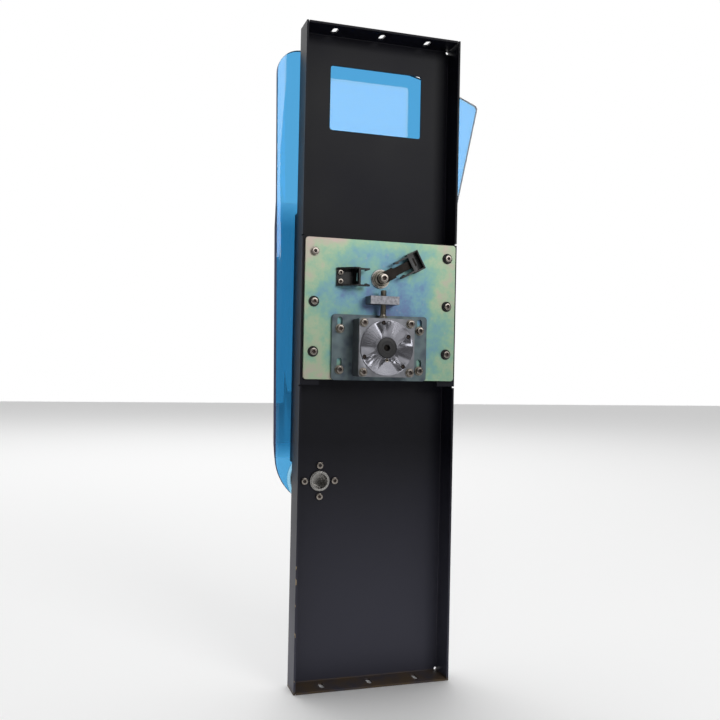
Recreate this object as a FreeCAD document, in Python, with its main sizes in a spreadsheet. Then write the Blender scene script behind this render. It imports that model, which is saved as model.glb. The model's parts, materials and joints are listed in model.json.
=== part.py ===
"""Wing unit of a flap-type access gate, seen from its mechanism side.

A folded steel tray carries a zinc-plated drive plate.  A flat geared drive unit on a slotted
bracket turns a crank shaft through a belt, and a jack screw sets the belt's tension.  On the
tray's front the crank's roller works in a slotted plate on a tinted acrylic wing, which swings on
a hollow spindle low in the tray.

Frame, in millimetres: X to the right seen from the mechanism side, Y from the mechanism side
towards the wing, Z up.  The origin is the centre of the middle fixing slot, on the outer face of
the tray's bottom flange.
"""
import FreeCAD, Part
import math
import os
import re

import Sketcher

Vector = FreeCAD.Vector
Rotation = FreeCAD.Rotation

SIZES = {
    # Folded tray: outer sizes, sheet, and the inside and outside bend radii.
    "tray_height": 650, "tray_width": 161, "tray_depth": 28.5, "tray_wall": 2,
    "bend_outer": 3, "bend_inner": 1, "seam_gap": 0.8, "seam_past": 0.2, "corner_hole_r": 1.5,
    # Return lips that carry the drive plate, and the saw cuts at their ends.
    "lip_low": 298, "lip_high": 441.5, "lip_width": 19, "lip_relief": 1.5, "lip_relief_deep": 5,
    "relief_bite": 0.5,
    # Window, and the fixing slots in the two end flanges.
    "window_width": 97.5, "window_height": 65, "window_z": 586, "window_corner": 3,
    "slot_pitch": 49, "slot_width": 5.5, "slot_length": 14,
    # Zinc-plated drive plate and its six fixing screws.
    "plate_inset": 2.5, "plate_height": 137, "plate_thick": 3, "plate_low": 303.5,
    "plate_corner": 3, "plate_screw_inset": 11.5, "plate_screw_z": 378.5, "plate_screw_pitch": 48.3,
    # Mechanism centre line and its two shafts.
    "axis_x": -2, "crank_z": 403, "unit_z": 335,
    # Slotted unit bracket.
    "bracket_width": 98, "bracket_height": 64, "bracket_thick": 3, "bracket_corner": 3.5,
    "bracket_screw_x": 41.2, "bracket_screw_rise": 39.8, "bracket_screw_z": 313.2,
    "bracket_slot_width": 5, "bracket_slot_length": 15.5, "bracket_slot_up": 3.6,
    "pilot_r": 13, "pilot_travel": 10, "bracket_pilot_r": 11,
    # Drive unit: square housing, turned cover, shaft, hub and bearings.
    "unit_side": 56.4, "unit_deep": 21, "unit_corner": 2.5, "unit_hole_pitch": 47.14,
    "unit_end_wall": 6, "unit_cavity_r": 21.5, "cover_r": 26.65, "cover_thick": 3,
    "cover_proud": 0.8, "cover_boss_r": 12, "cover_boss_deep": 5, "unit_shaft_r": 4,
    "hub_face_r": 9.6, "hub_hole_r": 3, "hub_face_thick": 2.6, "hub_stem_r": 5,
    "hub_stem_long": 6, "rear_bearing_r": 9.5, "front_bearing_r": 8, "bearing_wide": 5,
    "rotor_r": 14, "stator_out_r": 21.3, "stator_in_r": 15, "rotor_long": 6, "stator_long": 9,
    "cover_screw_ring": 24.3, "cover_screw_a": 99, "cover_screw_b": 27, "cover_screw_c": -47,
    "cover_screw_d": 202, "cover_screw_r": 0.75, "cover_screw_long": 6, "cover_head_r": 2,
    "cover_head_high": 1.4, "cover_socket": 1, "cover_sink_r": 2.1, "cover_sink_deep": 1.6,
    "cover_slack": 0.2, "tap_spare": 6, "hub_gap": 0.4, "hub_shoulder": 1, "bearing_float": 0.3,
    "rotor_gap": 1, "unit_shaft_slack": 1, "unit_shaft_past": 4, "eyelet_r": 1.9,
    "eyelet_hole_r": 0.9, "eyelet_wall": 0.3, "eyelet_rim": 0.4, "eyelet_deep": 2,
    "eyelet_ring": 11.9,
    # Jack block, screw and foot.
    "jack_block_width": 29.5, "jack_block_deep": 16.5, "jack_block_high": 8,
    "jack_block_z": 377.2, "jack_out": 11, "jack_r": 3, "jack_top": 391, "jack_foot_r": 4.2,
    "jack_foot_high": 4.6, "jack_screw_pitch": 18, "jack_tap": 8, "jack_screw_in": 7,
    "jack_socket_deep": 2.5,
    # Crank shaft line: bearings, spacer, flag arm.
    "shaft_r": 5, "ball_bearing_r": 9.5, "bearing_proud": 1.5, "spacer_r": 7,
    "spacer_step_r": 8.4, "spacer_step_long": 1.6, "spacer_gap": 0.3, "shaft_tap": 10,
    "shaft_clear": 2, "arm_gap": 6.25,
    "arm_thick": 2, "arm_width": 11, "arm_neck": 8, "arm_shoulder": 13.5, "arm_length": 38,
    "arm_angle": 28.4, "arm_flat": 1.2,
    # Snap clip: one on the arm, one on the fixed sensor bracket.
    "clip_tip": 16.6, "clip_end": 44, "clip_back": 31.5, "clip_width": 20, "clip_wall": 1.6,
    "clip_leg_x": 7.2, "clip_leg_thick": 1.5, "clip_deep": 7, "barb_long": 4, "barb_out": 1.3,
    "leg_step": 1, "leg_root": 0.5,
    # Fixed sensor bracket.
    "sensor_foot_x": -47.2, "sensor_wall_x": -29, "sensor_wall_out": 16, "sensor_thick": 1.5,
    "sensor_width": 18, "sensor_screw_x": -43.4, "sensor_screw_pitch": 8.7,
    "sensor_clip_out": 5.5, "sensor_web_inset": 0.5, "sensor_leg_short": 4,
    "sensor_cheek_flat": 3, "slit_margin": 3, "slit_half": 4,
    # Belt drive.
    "belt_wide": 9, "belt_thick": 2.2, "belt_y": -2, "belt_clear": 0.3, "big_pulley_r": 20.4,
    "small_pulley_r": 10.2, "pulley_flange": 1.2, "pulley_flange_out": 2.6,
    "groove_r": 1.1, "big_teeth": 26, "small_teeth": 13, "belt_side_clear": 0.7,
    # Front channel.
    "channel_side": 22.5, "channel_low": 219.6, "channel_above": 7.5, "channel_deep": 15.5,
    "channel_wall": 2, "channel_screw_x": 55, "channel_screw_low": 318, "channel_screw_rise": 104,
    # Crank bearing holder on the channel, crank arm, pin and roller.
    "holder_flange_r": 18, "holder_flange": 3, "holder_boss_r": 11.8, "holder_ring": 14.7,
    "holder_screw_past": 3, "crank_gap": 0.6, "crank_thick": 4.5, "crank_r": 58,
    "crank_hub_r": 11, "crank_tip_r": 7, "crank_bar_hub": 10, "crank_bar_tip": 6.5, "pin_r": 4,
    "roller_r": 6, "roller_long": 3.6, "roller_wing_gap": 0.4,
    # Wing pivot.
    "pivot_x": -52, "pivot_z": 201.5, "bush_out_r": 10, "spindle_r": 9, "spindle_bore_r": 7.6,
    "spindle_bore_deep": 14, "spindle_past": 1, "bush_proud": 1, "running_fit": 0.04,
    "circlip_thick": 1, "circlip_groove": 1, "housing_flange_r": 19.8, "housing_flange": 4,
    "housing_boss_r": 14.5, "housing_long": 12.6, "housing_ring": 15.5, "thrust_r": 13.5,
    "thrust_slack": 0.3, "piece_clear": 1.5, "head_clear": 0.5,
    # Acrylic wing: leading and trailing edges by their offset at pivot height and their lean.
    "wing_gap": 17.25, "wing_thick": 6, "wing_radius": 435.3, "wing_lead": 40.5,
    "wing_lead_lean": 0.9, "wing_trail": 93.2, "wing_trail_lean": 11.5, "wing_drop": 29,
    "wing_low_corner": 53, "wing_top_corner": 23.6, "wing_trail_corner": 5,
    "wing_heel_corner": 10, "wing_recess_r": 28.5, "wing_recess_deep": 3,
    # Doubler bonded to the wing's front, with tapered ends.
    "doubler_thick": 6, "doubler_low": 222, "doubler_high": 481, "taper_high": 25,
    "taper_low": 15, "taper_tip": 0.6,
    # Wing hub flange, clamp ring and slotted drive plate.
    "hub_flange_r": 25, "hub_flange": 4, "clamp_r": 22, "clamp_hole_r": 6, "clamp_thick": 3,
    "hub_screw_ring": 17.5, "slot_plate_length": 48, "slot_plate_width": 30,
    "slot_plate_thick": 4, "drive_slot_play": 1, "drive_slot_spare": 1.2,
    "slot_screw_along": 19.2, "slot_screw_across": 9.2, "slot_plate_corner": 3,
    # Screw sizes: M3, M4 and M5 radii, heads, washers and nuts.
    "m_three": 1.5, "m_four": 2, "m_five": 2.5, "head_three": 2.75, "head_four": 3.5,
    "head_five": 4.25, "head_high_three": 2.2, "head_high_four": 2.6, "head_high_five": 3.4,
    "socket_three": 1.25, "socket_four": 1.5, "socket_five": 2, "socket_share": 0.6,
    "washer_four": 4.5, "washer_five": 5, "washer_thick": 0.8, "spring_thick": 1,
    "washer_corner": 4.2, "isolator_r": 5.2, "isolator_thick": 0.9, "nut_four": 4,
    "nut_thick": 3, "nut_three": 3, "nut_thin": 2.4, "hole_slack": 0.25, "seat": 0.05,
    # Low heads of the holder's M3 screws and the crank's M5 screw.
    "low_three_r": 2.6, "low_three_high": 1.8, "low_three_socket": 1, "low_five_r": 6.75,
    "low_five_high": 2, "low_five_socket": 1.2, "low_five_long": 9,
    # How far a cutting outline runs past the material that it cuts.
    "past": 1,
}

# Places along Y, each built up from the sizes above.
RIM = "(-tray_depth/2)"
FLOOR_IN = "(tray_depth/2 - tray_wall)"
FLOOR_OUT = "(tray_depth/2)"
PLATE_FACE = "(-tray_depth/2 - plate_thick)"
BRACKET_FACE = "(-tray_depth/2 - plate_thick - bracket_thick)"
UNIT_FACE = "(-tray_depth/2 - plate_thick - bracket_thick - unit_deep)"
CHANNEL_FACE = "(tray_depth/2 + channel_wall)"
CHANNEL_SIDE = "(axis_x + crank_r + channel_side)"
CHANNEL_TOP = "(crank_z + crank_r + channel_above)"
PLATE_SCREW_X = "(tray_width/2 - plate_screw_inset)"
WING_REAR = "(tray_depth/2 + wing_gap)"
WING_FRONT = "(tray_depth/2 + wing_gap + wing_thick)"
CRANK_REAR = "(tray_depth/2 + channel_wall + bearing_wide + crank_gap)"
CRANK_FRONT = "(tray_depth/2 + channel_wall + bearing_wide + crank_gap + crank_thick)"
ARM_FRONT = "(-tray_depth/2 - plate_thick - arm_gap - arm_thick)"
# The crank at rest stands 45 degrees short of the line from the wing's pivot through its shaft.
PIVOT_LINE = "atan2(crank_z - pivot_z; axis_x - pivot_x)"
PIVOT_DISTANCE = "sqrt((crank_z - pivot_z)^2 + (axis_x - pivot_x)^2)"
CRANK_ANGLE = "(" + PIVOT_LINE + " - 45 deg)"
PIN_ALONG = "(" + PIVOT_DISTANCE + " + crank_r*cos(45 deg))"
PIN_ASIDE = "(crank_r*sin(45 deg))"
SLOT_ANGLE = "(" + PIVOT_LINE + " - atan2(" + PIN_ASIDE + "; " + PIN_ALONG + "))"
SLOT_FAR = "(" + PIVOT_DISTANCE + " + crank_r)"
SLOT_NEAR = "sqrt(" + PIN_ALONG + "^2 + " + PIN_ASIDE + "^2)"
SLOT_MIDDLE = "((" + SLOT_NEAR + " + " + SLOT_FAR + ")/2)"

# The plate screw, counted up the left side and then the right, that has no isolator.
BARE_SCREW = 2

# Shares of a millimetre within which two places, or two directions, count as the same.
SAME_PLACE = 1e-3
SAME_DIRECTION = 0.9999

doc = FreeCAD.newDocument("wing_unit")
sheet = doc.addObject("Spreadsheet::Sheet", "Sizes")
nodes = []


def fill_sheet():
    """One row for each driving size: its name, and its value under an alias of that name."""
    for row, (name, size) in enumerate(SIZES.items(), start=1):
        sheet.set("A%d" % row, name)
        sheet.set("B%d" % row, str(size))
        sheet.setAlias("B%d" % row, name)
    doc.recompute()


def bound(text):
    """The expression with each driving size's name written as a reference to its cell."""
    def cell(match):
        word = match.group(0)
        return "Sizes." + word if word in SIZES else word
    return re.sub(r"[a-z][a-z_]*", cell, text)


def tie(item, prop, text):
    item.setExpression(prop, bound(text))


def place(item, x="0", y="0", z="0"):
    """Binds an object's position to three expressions."""
    for letter, text in zip("xyz", (x, y, z)):
        tie(item, "Placement.Base." + letter, text)


def turn(item, axis, angle):
    """Turns an object about an axis by a bound angle; a positive angle about -Y lifts +X to +Z."""
    item.Placement = FreeCAD.Placement(Vector(0, 0, 0), Rotation(axis, 1))
    tie(item, "Placement.Rotation.Angle", angle)


def keep(item, label):
    """Marks an object as a finished sub-part."""
    item.Label = label
    nodes.append(item)
    return item


# Sketches and PartDesign features.

def new_body(label):
    body = doc.addObject("PartDesign::Body", label)
    return keep(body, label)


def new_sketch(body, plane):
    """A sketch lying on one of the body's own origin planes."""
    support = [item for item in body.Origin.OriginFeatures if item.Role == plane][0]
    sketch = body.newObject("Sketcher::SketchObject", body.Label + "_sketch")
    sketch.AttachmentSupport = [(support, "")]
    sketch.MapMode = "FlatFace"
    return sketch


def datum(sketch, kind, geometry, point, text):
    """Binds a vertex's horizontal or vertical distance from the sketch's origin."""
    present = sketch.getPoint(geometry, point)
    start = present.x if kind == "DistanceX" else present.y
    index = sketch.addConstraint(Sketcher.Constraint(kind, -1, 1, geometry, point, start))
    tie(sketch, "Constraints[%d]" % index, text)


def polygon(sketch, points):
    """Closed outline with straight sides; both places of every corner are bound."""
    count = len(points)
    first = sketch.GeometryCount
    ring = [Vector(math.cos(math.tau * (i + 0.4) / count), math.sin(math.tau * (i + 0.4) / count), 0)
            for i in range(count)]
    for i in range(count):
        sketch.addGeometry(Part.LineSegment(ring[i], ring[(i + 1) % count]), False)
    for i in range(count):
        following = first + (i + 1) % count
        sketch.addConstraint(Sketcher.Constraint("Coincident", first + i, 2, following, 1))
    for i, (across, up) in enumerate(points):
        datum(sketch, "DistanceX", first + i, 1, across)
        datum(sketch, "DistanceY", first + i, 1, up)


def rectangle(sketch, left, right, low, high):
    polygon(sketch, [(left, low), (right, low), (right, high), (left, high)])


def circle(sketch, across, up, radius):
    index = sketch.addGeometry(Part.Circle(Vector(1, 1, 0), Vector(0, 0, 1), 1.0), False)
    limit = sketch.addConstraint(Sketcher.Constraint("Radius", index, 1.0))
    tie(sketch, "Constraints[%d]" % limit, radius)
    datum(sketch, "DistanceX", index, 3, across)
    datum(sketch, "DistanceY", index, 3, up)


def pad(body, sketch, length, away=True):
    """Pads a sketch; on an XZ plane the material goes towards +Y when away is set."""
    feature = body.newObject("PartDesign::Pad", body.Label + "_pad")
    feature.Profile = sketch
    tie(feature, "Length", length)
    feature.Reversed = away
    doc.recompute()
    return feature


def pocket(body, sketch, depth=None, away=True):
    """Cuts a sketch through all, or to a depth, and makes sure that it removed something."""
    before = body.Shape.Volume
    feature = body.newObject("PartDesign::Pocket", body.Label + "_pocket")
    feature.Profile = sketch
    if depth is None:
        feature.Type = "ThroughAll"
    else:
        tie(feature, "Length", depth)
    feature.Reversed = not away
    doc.recompute()
    if body.Shape.Volume >= before:
        raise RuntimeError(body.Label + ": a pocket removed nothing")
    return feature


def round_edges(body, radius, chosen):
    """Rounds the edges that the test picks from the body's present shape."""
    names = ["Edge%d" % (i + 1) for i, edge in enumerate(body.Shape.Edges) if chosen(edge)]
    if not names:
        raise RuntimeError(body.Label + ": no edge to round")
    rounded = body.Tip
    feature = body.newObject("PartDesign::Fillet", body.Label + "_round")
    feature.Base = (rounded, names)
    tie(feature, "Radius", radius)
    doc.recompute()
    return feature


def runs_along(edge, letter):
    """True for a straight edge that is parallel to the axis named by the letter."""
    if not isinstance(edge.Curve, Part.Line):
        return False
    direction = edge.Curve.Direction
    return abs(getattr(direction, letter)) > SAME_DIRECTION


def near(edge, letter, place_along):
    """True when the whole edge lies at one place along the axis named by the letter."""
    box = edge.BoundBox
    low, high = getattr(box, letter.upper() + "Min"), getattr(box, letter.upper() + "Max")
    return max(abs(low - place_along), abs(high - place_along)) < SAME_PLACE


def turned(label, profile, x="0", y="0", z="0"):
    """A piece turned about Y: the outline gives radius and place along the axis."""
    body = new_body(label)
    sketch = new_sketch(body, "XY_Plane")
    polygon(sketch, profile)
    feature = body.newObject("PartDesign::Revolution", label + "_turn")
    feature.Profile = sketch
    feature.ReferenceAxis = (sketch, ["V_Axis"])
    feature.Angle = 360
    place(body, x, y, z)
    doc.recompute()
    return body


def ring_profile(inner, outer, start, end):
    return [(inner, start), (outer, start), (outer, end), (inner, end)]


def polar_holes(body, ring, radius, count, first_angle, depth=None, start="0"):
    """One hole at the first angle, repeated round the body's Y axis."""
    sketch = new_sketch(body, "XZ_Plane")
    tie(sketch, "AttachmentOffset.Base.z", "-(" + start + ")")
    circle(sketch, "%s*cos(%s)" % (ring, first_angle), "%s*sin(%s)" % (ring, first_angle), radius)
    hole = pocket(body, sketch, depth)
    pattern = body.newObject("PartDesign::PolarPattern", body.Label + "_ring")
    pattern.Originals = [hole]
    axis = [item for item in body.Origin.OriginFeatures if item.Role == "Y_Axis"][0]
    pattern.Axis = (axis, [""])
    pattern.Angle = 360
    pattern.Occurrences = count
    body.Tip = pattern
    doc.recompute()
    return pattern


# Part primitives, each with its axis along Y unless it is turned later.

def rod(radius, length, x="0", y="0", z="0"):
    item = doc.addObject("Part::Cylinder", "rod")
    item.Placement = FreeCAD.Placement(Vector(0, 0, 0), Rotation(Vector(1, 0, 0), -90))
    tie(item, "Radius", radius)
    tie(item, "Height", length)
    place(item, x, y, z)
    return item


def hexagon(radius, length, x="0", y="0", z="0"):
    item = doc.addObject("Part::Prism", "hexagon")
    item.Polygon = 6
    item.Placement = FreeCAD.Placement(Vector(0, 0, 0), Rotation(Vector(1, 0, 0), -90))
    tie(item, "Circumradius", radius)
    tie(item, "Height", length)
    place(item, x, y, z)
    return item


def fuse(*items):
    joined = doc.addObject("Part::MultiFuse", "joined")
    joined.Shapes = list(items)
    return joined


def cut(base, *tools):
    result = doc.addObject("Part::Cut", "cut")
    result.Base = base
    result.Tool = tools[0] if len(tools) == 1 else fuse(*tools)
    return result


def screw(size, length):
    """A cap screw: the head's seat at the origin, the shank towards +Y, a hexagon socket."""
    head, high, thread = "head_" + size, "head_high_" + size, "m_" + size
    body = fuse(rod(head, high, y="-" + high), rod(thread, length))
    socket = hexagon("socket_" + size, high + "*socket_share", y="-" + high)
    return cut(body, socket)


def washer(outer, inner, thick):
    """A flat ring whose face towards +Y lies at the origin."""
    return cut(rod(outer, thick, y="-(" + thick + ")"),
               rod(inner + " + hole_slack", thick + " + 2*past", y="-(" + thick + ") - past"))


def nut(across, thread, thick):
    """A hexagon nut whose face towards -Y lies at the origin."""
    return cut(hexagon(across, thick), rod(thread, thick + " + 2*past", y="-past"))


def copies(master, places, flip=False):
    """Linked copies of one fastener at several places; flip turns them to face -Y."""
    links = []
    for x, y, z in places:
        link = doc.addObject("App::Link", master.Name + "_copy")
        link.LinkedObject = master
        if flip:
            link.Placement = FreeCAD.Placement(Vector(0, 0, 0), Rotation(Vector(0, 0, 1), 180))
        place(link, x, y, z)
        links.append(link)
    return links


def bundle(label, links):
    """One node of separate solids."""
    compound = doc.addObject("Part::Compound", label)
    compound.Links = links
    return keep(compound, label)


def group(label, master, places, flip=False):
    """Copies of one fastener at several places, as one node."""
    return bundle(label, copies(master, places, flip))


# Repeated places.

def plate_screw_places(y):
    return [(side + PLATE_SCREW_X, y, "plate_screw_z + %d*plate_screw_pitch" % row)
            for side in ("-", "") for row in (-1, 0, 1)]


def raised_screw_places(y):
    """The plate screws' places, raised by the isolators; the top left one has none under it."""
    places = plate_screw_places(y + " - isolator_thick")
    places[BARE_SCREW] = plate_screw_places(y)[BARE_SCREW]
    return places


def bracket_screw_places(y):
    return [("axis_x + %d*bracket_screw_x" % side, y,
             "bracket_screw_z + %d*bracket_screw_rise" % row)
            for side in (-1, 1) for row in (0, 1)]


def unit_screw_places(y):
    return [("axis_x + %d*unit_hole_pitch/2" % side, y, "unit_z + %d*unit_hole_pitch/2" % row)
            for side in (-1, 1) for row in (-1, 1)]


def channel_screw_places(y):
    return [("%d*channel_screw_x" % side, y, "channel_screw_low + %d*channel_screw_rise" % row)
            for side in (-1, 1) for row in (0, 1)]


def ring_places(centre_x, centre_z, ring, angles, y):
    return [("%s + %s*cos(%s)" % (centre_x, ring, angle), y,
             "%s + %s*sin(%s)" % (centre_z, ring, angle)) for angle in angles]


def slot_plate_places(y):
    """The slotted plate's four corner screws, in the plate's turned frame."""
    places = []
    for along in (-1, 1):
        for across in (-1, 1):
            reach = "(%s + %d*slot_screw_along)" % (SLOT_MIDDLE, along)
            aside = "(%d*slot_screw_across)" % across
            places.append((
                "pivot_x + %s*cos(%s) - %s*sin(%s)" % (reach, SLOT_ANGLE, aside, SLOT_ANGLE), y,
                "pivot_z + %s*sin(%s) + %s*cos(%s)" % (reach, SLOT_ANGLE, aside, SLOT_ANGLE)))
    return places


COVER_ANGLES = ["cover_screw_a * 1 deg", "cover_screw_b * 1 deg", "cover_screw_c * 1 deg",
                "cover_screw_d * 1 deg"]
QUARTER_ANGLES = ["0 deg", "90 deg", "180 deg", "270 deg"]
SIXTH_ANGLES = ["%d deg" % (60 * step) for step in range(6)]


# The carrier tray.

def carrier_tray():
    """A folded pan, open towards -Y, with return lips, a window, slots and bearing holes."""
    body = new_body("carrier_tray")
    outer = new_sketch(body, "XZ_Plane")
    rectangle(outer, "-tray_width/2", "tray_width/2", "0", "tray_height")
    pad(body, outer, "tray_depth")
    place(body, y=RIM)
    inner = new_sketch(body, "XZ_Plane")
    rectangle(inner, "-tray_width/2 + tray_wall", "tray_width/2 - tray_wall",
              "tray_wall", "tray_height - tray_wall")
    pocket(body, inner, "tray_depth - tray_wall")
    depth = SIZES["tray_depth"] / 2
    floor_in = depth - SIZES["tray_wall"]
    round_edges(body, "bend_outer", lambda edge: near(edge, "y", depth) and not runs_along(edge, "y"))
    round_edges(body, "bend_inner", lambda edge: near(edge, "y", floor_in)
                and not runs_along(edge, "y"))
    tray_lips(body)
    tray_seams(body)
    tray_floor_holes(body)
    tray_slots(body)
    return body


def tray_lips(body):
    """Two inward lips at rim level, with a relief cut above and below each."""
    lips = new_sketch(body, "XZ_Plane")
    edge = "tray_width/2 - tray_wall/2"
    reach = "tray_width/2 - lip_width"
    rectangle(lips, "-(" + edge + ")", "-(" + reach + ")", "lip_low", "lip_high")
    rectangle(lips, reach, edge, "lip_low", "lip_high")
    pad(body, lips, "tray_wall")
    reliefs = new_sketch(body, "XZ_Plane")
    for side in ("-1", "1"):
        for low in ("lip_low - lip_relief", "lip_high"):
            rectangle(reliefs, side + "*(tray_width/2 - tray_wall - relief_bite)",
                      side + "*(tray_width/2 + past)", low, low + " + lip_relief")
    pocket(body, reliefs, "lip_relief_deep")
    holes = new_sketch(body, "XZ_Plane")
    for x, _, z in plate_screw_places("0"):
        circle(holes, x, z, "m_four + hole_slack")
    pocket(body, holes, "tray_wall + past")


def tray_seams(body):
    """The open corner seams between side and end flanges, each ending in a relief hole."""
    seams = new_sketch(body, "XZ_Plane")
    for side in ("-1", "1"):
        for low, high in (("-past", "tray_wall + seam_past"),
                          ("tray_height - tray_wall - seam_past", "tray_height + past")):
            rectangle(seams, side + "*(tray_width/2 - tray_wall)",
                      side + "*(tray_width/2 - tray_wall - seam_gap)", low, high)
    pocket(body, seams, "tray_depth - tray_wall")
    holes = new_sketch(body, "XZ_Plane")
    inset = "(tray_wall + corner_hole_r)"
    for side in ("-1", "1"):
        for height in (inset, "tray_height - " + inset):
            circle(holes, side + "*(tray_width/2 - " + inset + ")", height, "corner_hole_r")
    pocket(body, holes)


def tray_floor_holes(body):
    """The window, the pivot bush and its screws, the crank shaft, and the channel's screws."""
    window = new_sketch(body, "XZ_Plane")
    rectangle(window, "-window_width/2", "window_width/2", "window_z - window_height/2",
              "window_z + window_height/2")
    pocket(body, window)
    half = SIZES["window_width"] / 2
    round_edges(body, "window_corner", lambda edge: runs_along(edge, "y")
                and (near(edge, "x", half) or near(edge, "x", -half)))
    holes = new_sketch(body, "XZ_Plane")
    circle(holes, "pivot_x", "pivot_z", "bush_out_r + hole_slack")
    circle(holes, "axis_x", "crank_z", "shaft_r + shaft_clear")
    for x, _, z in ring_places("pivot_x", "pivot_z", "housing_ring", QUARTER_ANGLES, "0"):
        circle(holes, x, z, "m_four + hole_slack")
    for x, _, z in channel_screw_places("0"):
        circle(holes, x, z, "m_four + hole_slack")
    for x, _, z in ring_places("axis_x", "crank_z", "holder_ring", QUARTER_ANGLES, "0"):
        circle(holes, x, z, "m_three + hole_slack")
    pocket(body, holes)


def tray_slots(body):
    """Three slots along Y through both end flanges."""
    long_part = new_sketch(body, "XY_Plane")
    ends = new_sketch(body, "XY_Plane")
    straight = "(slot_length - slot_width)/2"
    for step in (-1, 0, 1):
        middle = "%d*slot_pitch" % step
        rectangle(long_part, middle + " - slot_width/2", middle + " + slot_width/2",
                  "tray_depth/2 - " + straight, "tray_depth/2 + " + straight)
        circle(ends, middle, "tray_depth/2 - " + straight, "slot_width/2")
        circle(ends, middle, "tray_depth/2 + " + straight, "slot_width/2")
    for sketch in (long_part, ends):
        tie(sketch, "AttachmentOffset.Base.z", "tray_height")
        pocket(body, sketch)


# Drive plate and the pieces that hold it.

def drive_plate():
    """A flat plate with rounded corners that closes the tray's middle."""
    body = new_body("drive_plate")
    outline = new_sketch(body, "XZ_Plane")
    reach = "(tray_width/2 - plate_inset)"
    rectangle(outline, "-" + reach, reach, "plate_low", "plate_low + plate_height")
    pad(body, outline, "plate_thick")
    place(body, y=PLATE_FACE)
    round_edges(body, "plate_corner", lambda edge: runs_along(edge, "y"))
    holes = new_sketch(body, "XZ_Plane")
    for x, _, z in plate_screw_places("0"):
        circle(holes, x, z, "m_four + hole_slack")
    for x, _, z in bracket_screw_places("0"):
        circle(holes, x, z, "m_four")
    for x, _, z in sensor_screw_places("0") + jack_screw_places("0"):
        circle(holes, x, z, "m_three")
    circle(holes, "axis_x", "crank_z", "ball_bearing_r")
    pocket(body, holes)
    shaft_way = new_sketch(body, "XZ_Plane")
    rectangle(shaft_way, "axis_x - pilot_r", "axis_x + pilot_r",
              "unit_z - pilot_travel/2", "unit_z + pilot_travel/2")
    pocket(body, shaft_way)
    for end in ("-", "+"):
        way_end = new_sketch(body, "XZ_Plane")
        circle(way_end, "axis_x", "unit_z " + end + " pilot_travel/2", "pilot_r")
        pocket(body, way_end)
    return body


def plate_fasteners():
    """Six screws into clinch nuts behind the lips; all but one sit on a black isolator."""
    reach = "washer_thick + isolator_thick + plate_thick + tray_wall + nut_thick"
    group("plate_screws", screw("four", reach), raised_screw_places(PLATE_FACE + " - washer_thick"))
    flat = washer("washer_four", "m_four", "washer_thick")
    group("plate_washers", flat, raised_screw_places(PLATE_FACE))
    isolator = washer("isolator_r", "m_four", "isolator_thick")
    seats = plate_screw_places(PLATE_FACE)
    del seats[BARE_SCREW]
    group("plate_isolators", isolator, seats)
    clinch = nut("nut_four", "m_four", "nut_thick")
    group("lip_nuts", clinch, plate_screw_places(RIM + " + tray_wall"))


# Unit bracket and drive unit.

def unit_bracket():
    """A flat bracket with four upright slots, one pilot hole and four tapped holes."""
    body = new_body("unit_bracket")
    outline = new_sketch(body, "XZ_Plane")
    rectangle(outline, "-bracket_width/2", "bracket_width/2", "-bracket_height/2",
              "bracket_height/2")
    pad(body, outline, "bracket_thick")
    place(body, "axis_x", BRACKET_FACE, "unit_z")
    round_edges(body, "bracket_corner", lambda edge: runs_along(edge, "y"))
    holes = new_sketch(body, "XZ_Plane")
    circle(holes, "0", "0", "bracket_pilot_r")
    for side in (-1, 1):
        for row in (-1, 1):
            circle(holes, "%d*unit_hole_pitch/2" % side, "%d*unit_hole_pitch/2" % row, "m_four")
    pocket(body, holes)
    sides = new_sketch(body, "XZ_Plane")
    ends = new_sketch(body, "XZ_Plane")
    straight = "(bracket_slot_length - bracket_slot_width)/2"
    for side in (-1, 1):
        for row in (0, 1):
            x = "%d*bracket_screw_x" % side
            middle = "bracket_screw_z - unit_z + %d*bracket_screw_rise + bracket_slot_up" % row
            rectangle(sides, x + " - bracket_slot_width/2", x + " + bracket_slot_width/2",
                      middle + " - " + straight, middle + " + " + straight)
            circle(ends, x, middle + " - " + straight, "bracket_slot_width/2")
            circle(ends, x, middle + " + " + straight, "bracket_slot_width/2")
    pocket(body, sides)
    pocket(body, ends)
    return body


def bracket_fasteners():
    """Four screws with a spring washer and a flat washer each, tapped into the drive plate."""
    flat_seat = BRACKET_FACE
    spring_seat = flat_seat + " - washer_thick"
    screw_seat = spring_seat + " - spring_thick"
    reach = "washer_thick + spring_thick + bracket_thick + plate_thick"
    group("bracket_screws", screw("four", reach), bracket_screw_places(screw_seat))
    spring, flat = (washer("head_four", "m_four", "spring_thick"),
                    washer("washer_four", "m_four", "washer_thick"))
    bundle("bracket_washers", copies(spring, bracket_screw_places(spring_seat))
           + copies(flat, bracket_screw_places(flat_seat)))


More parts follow.
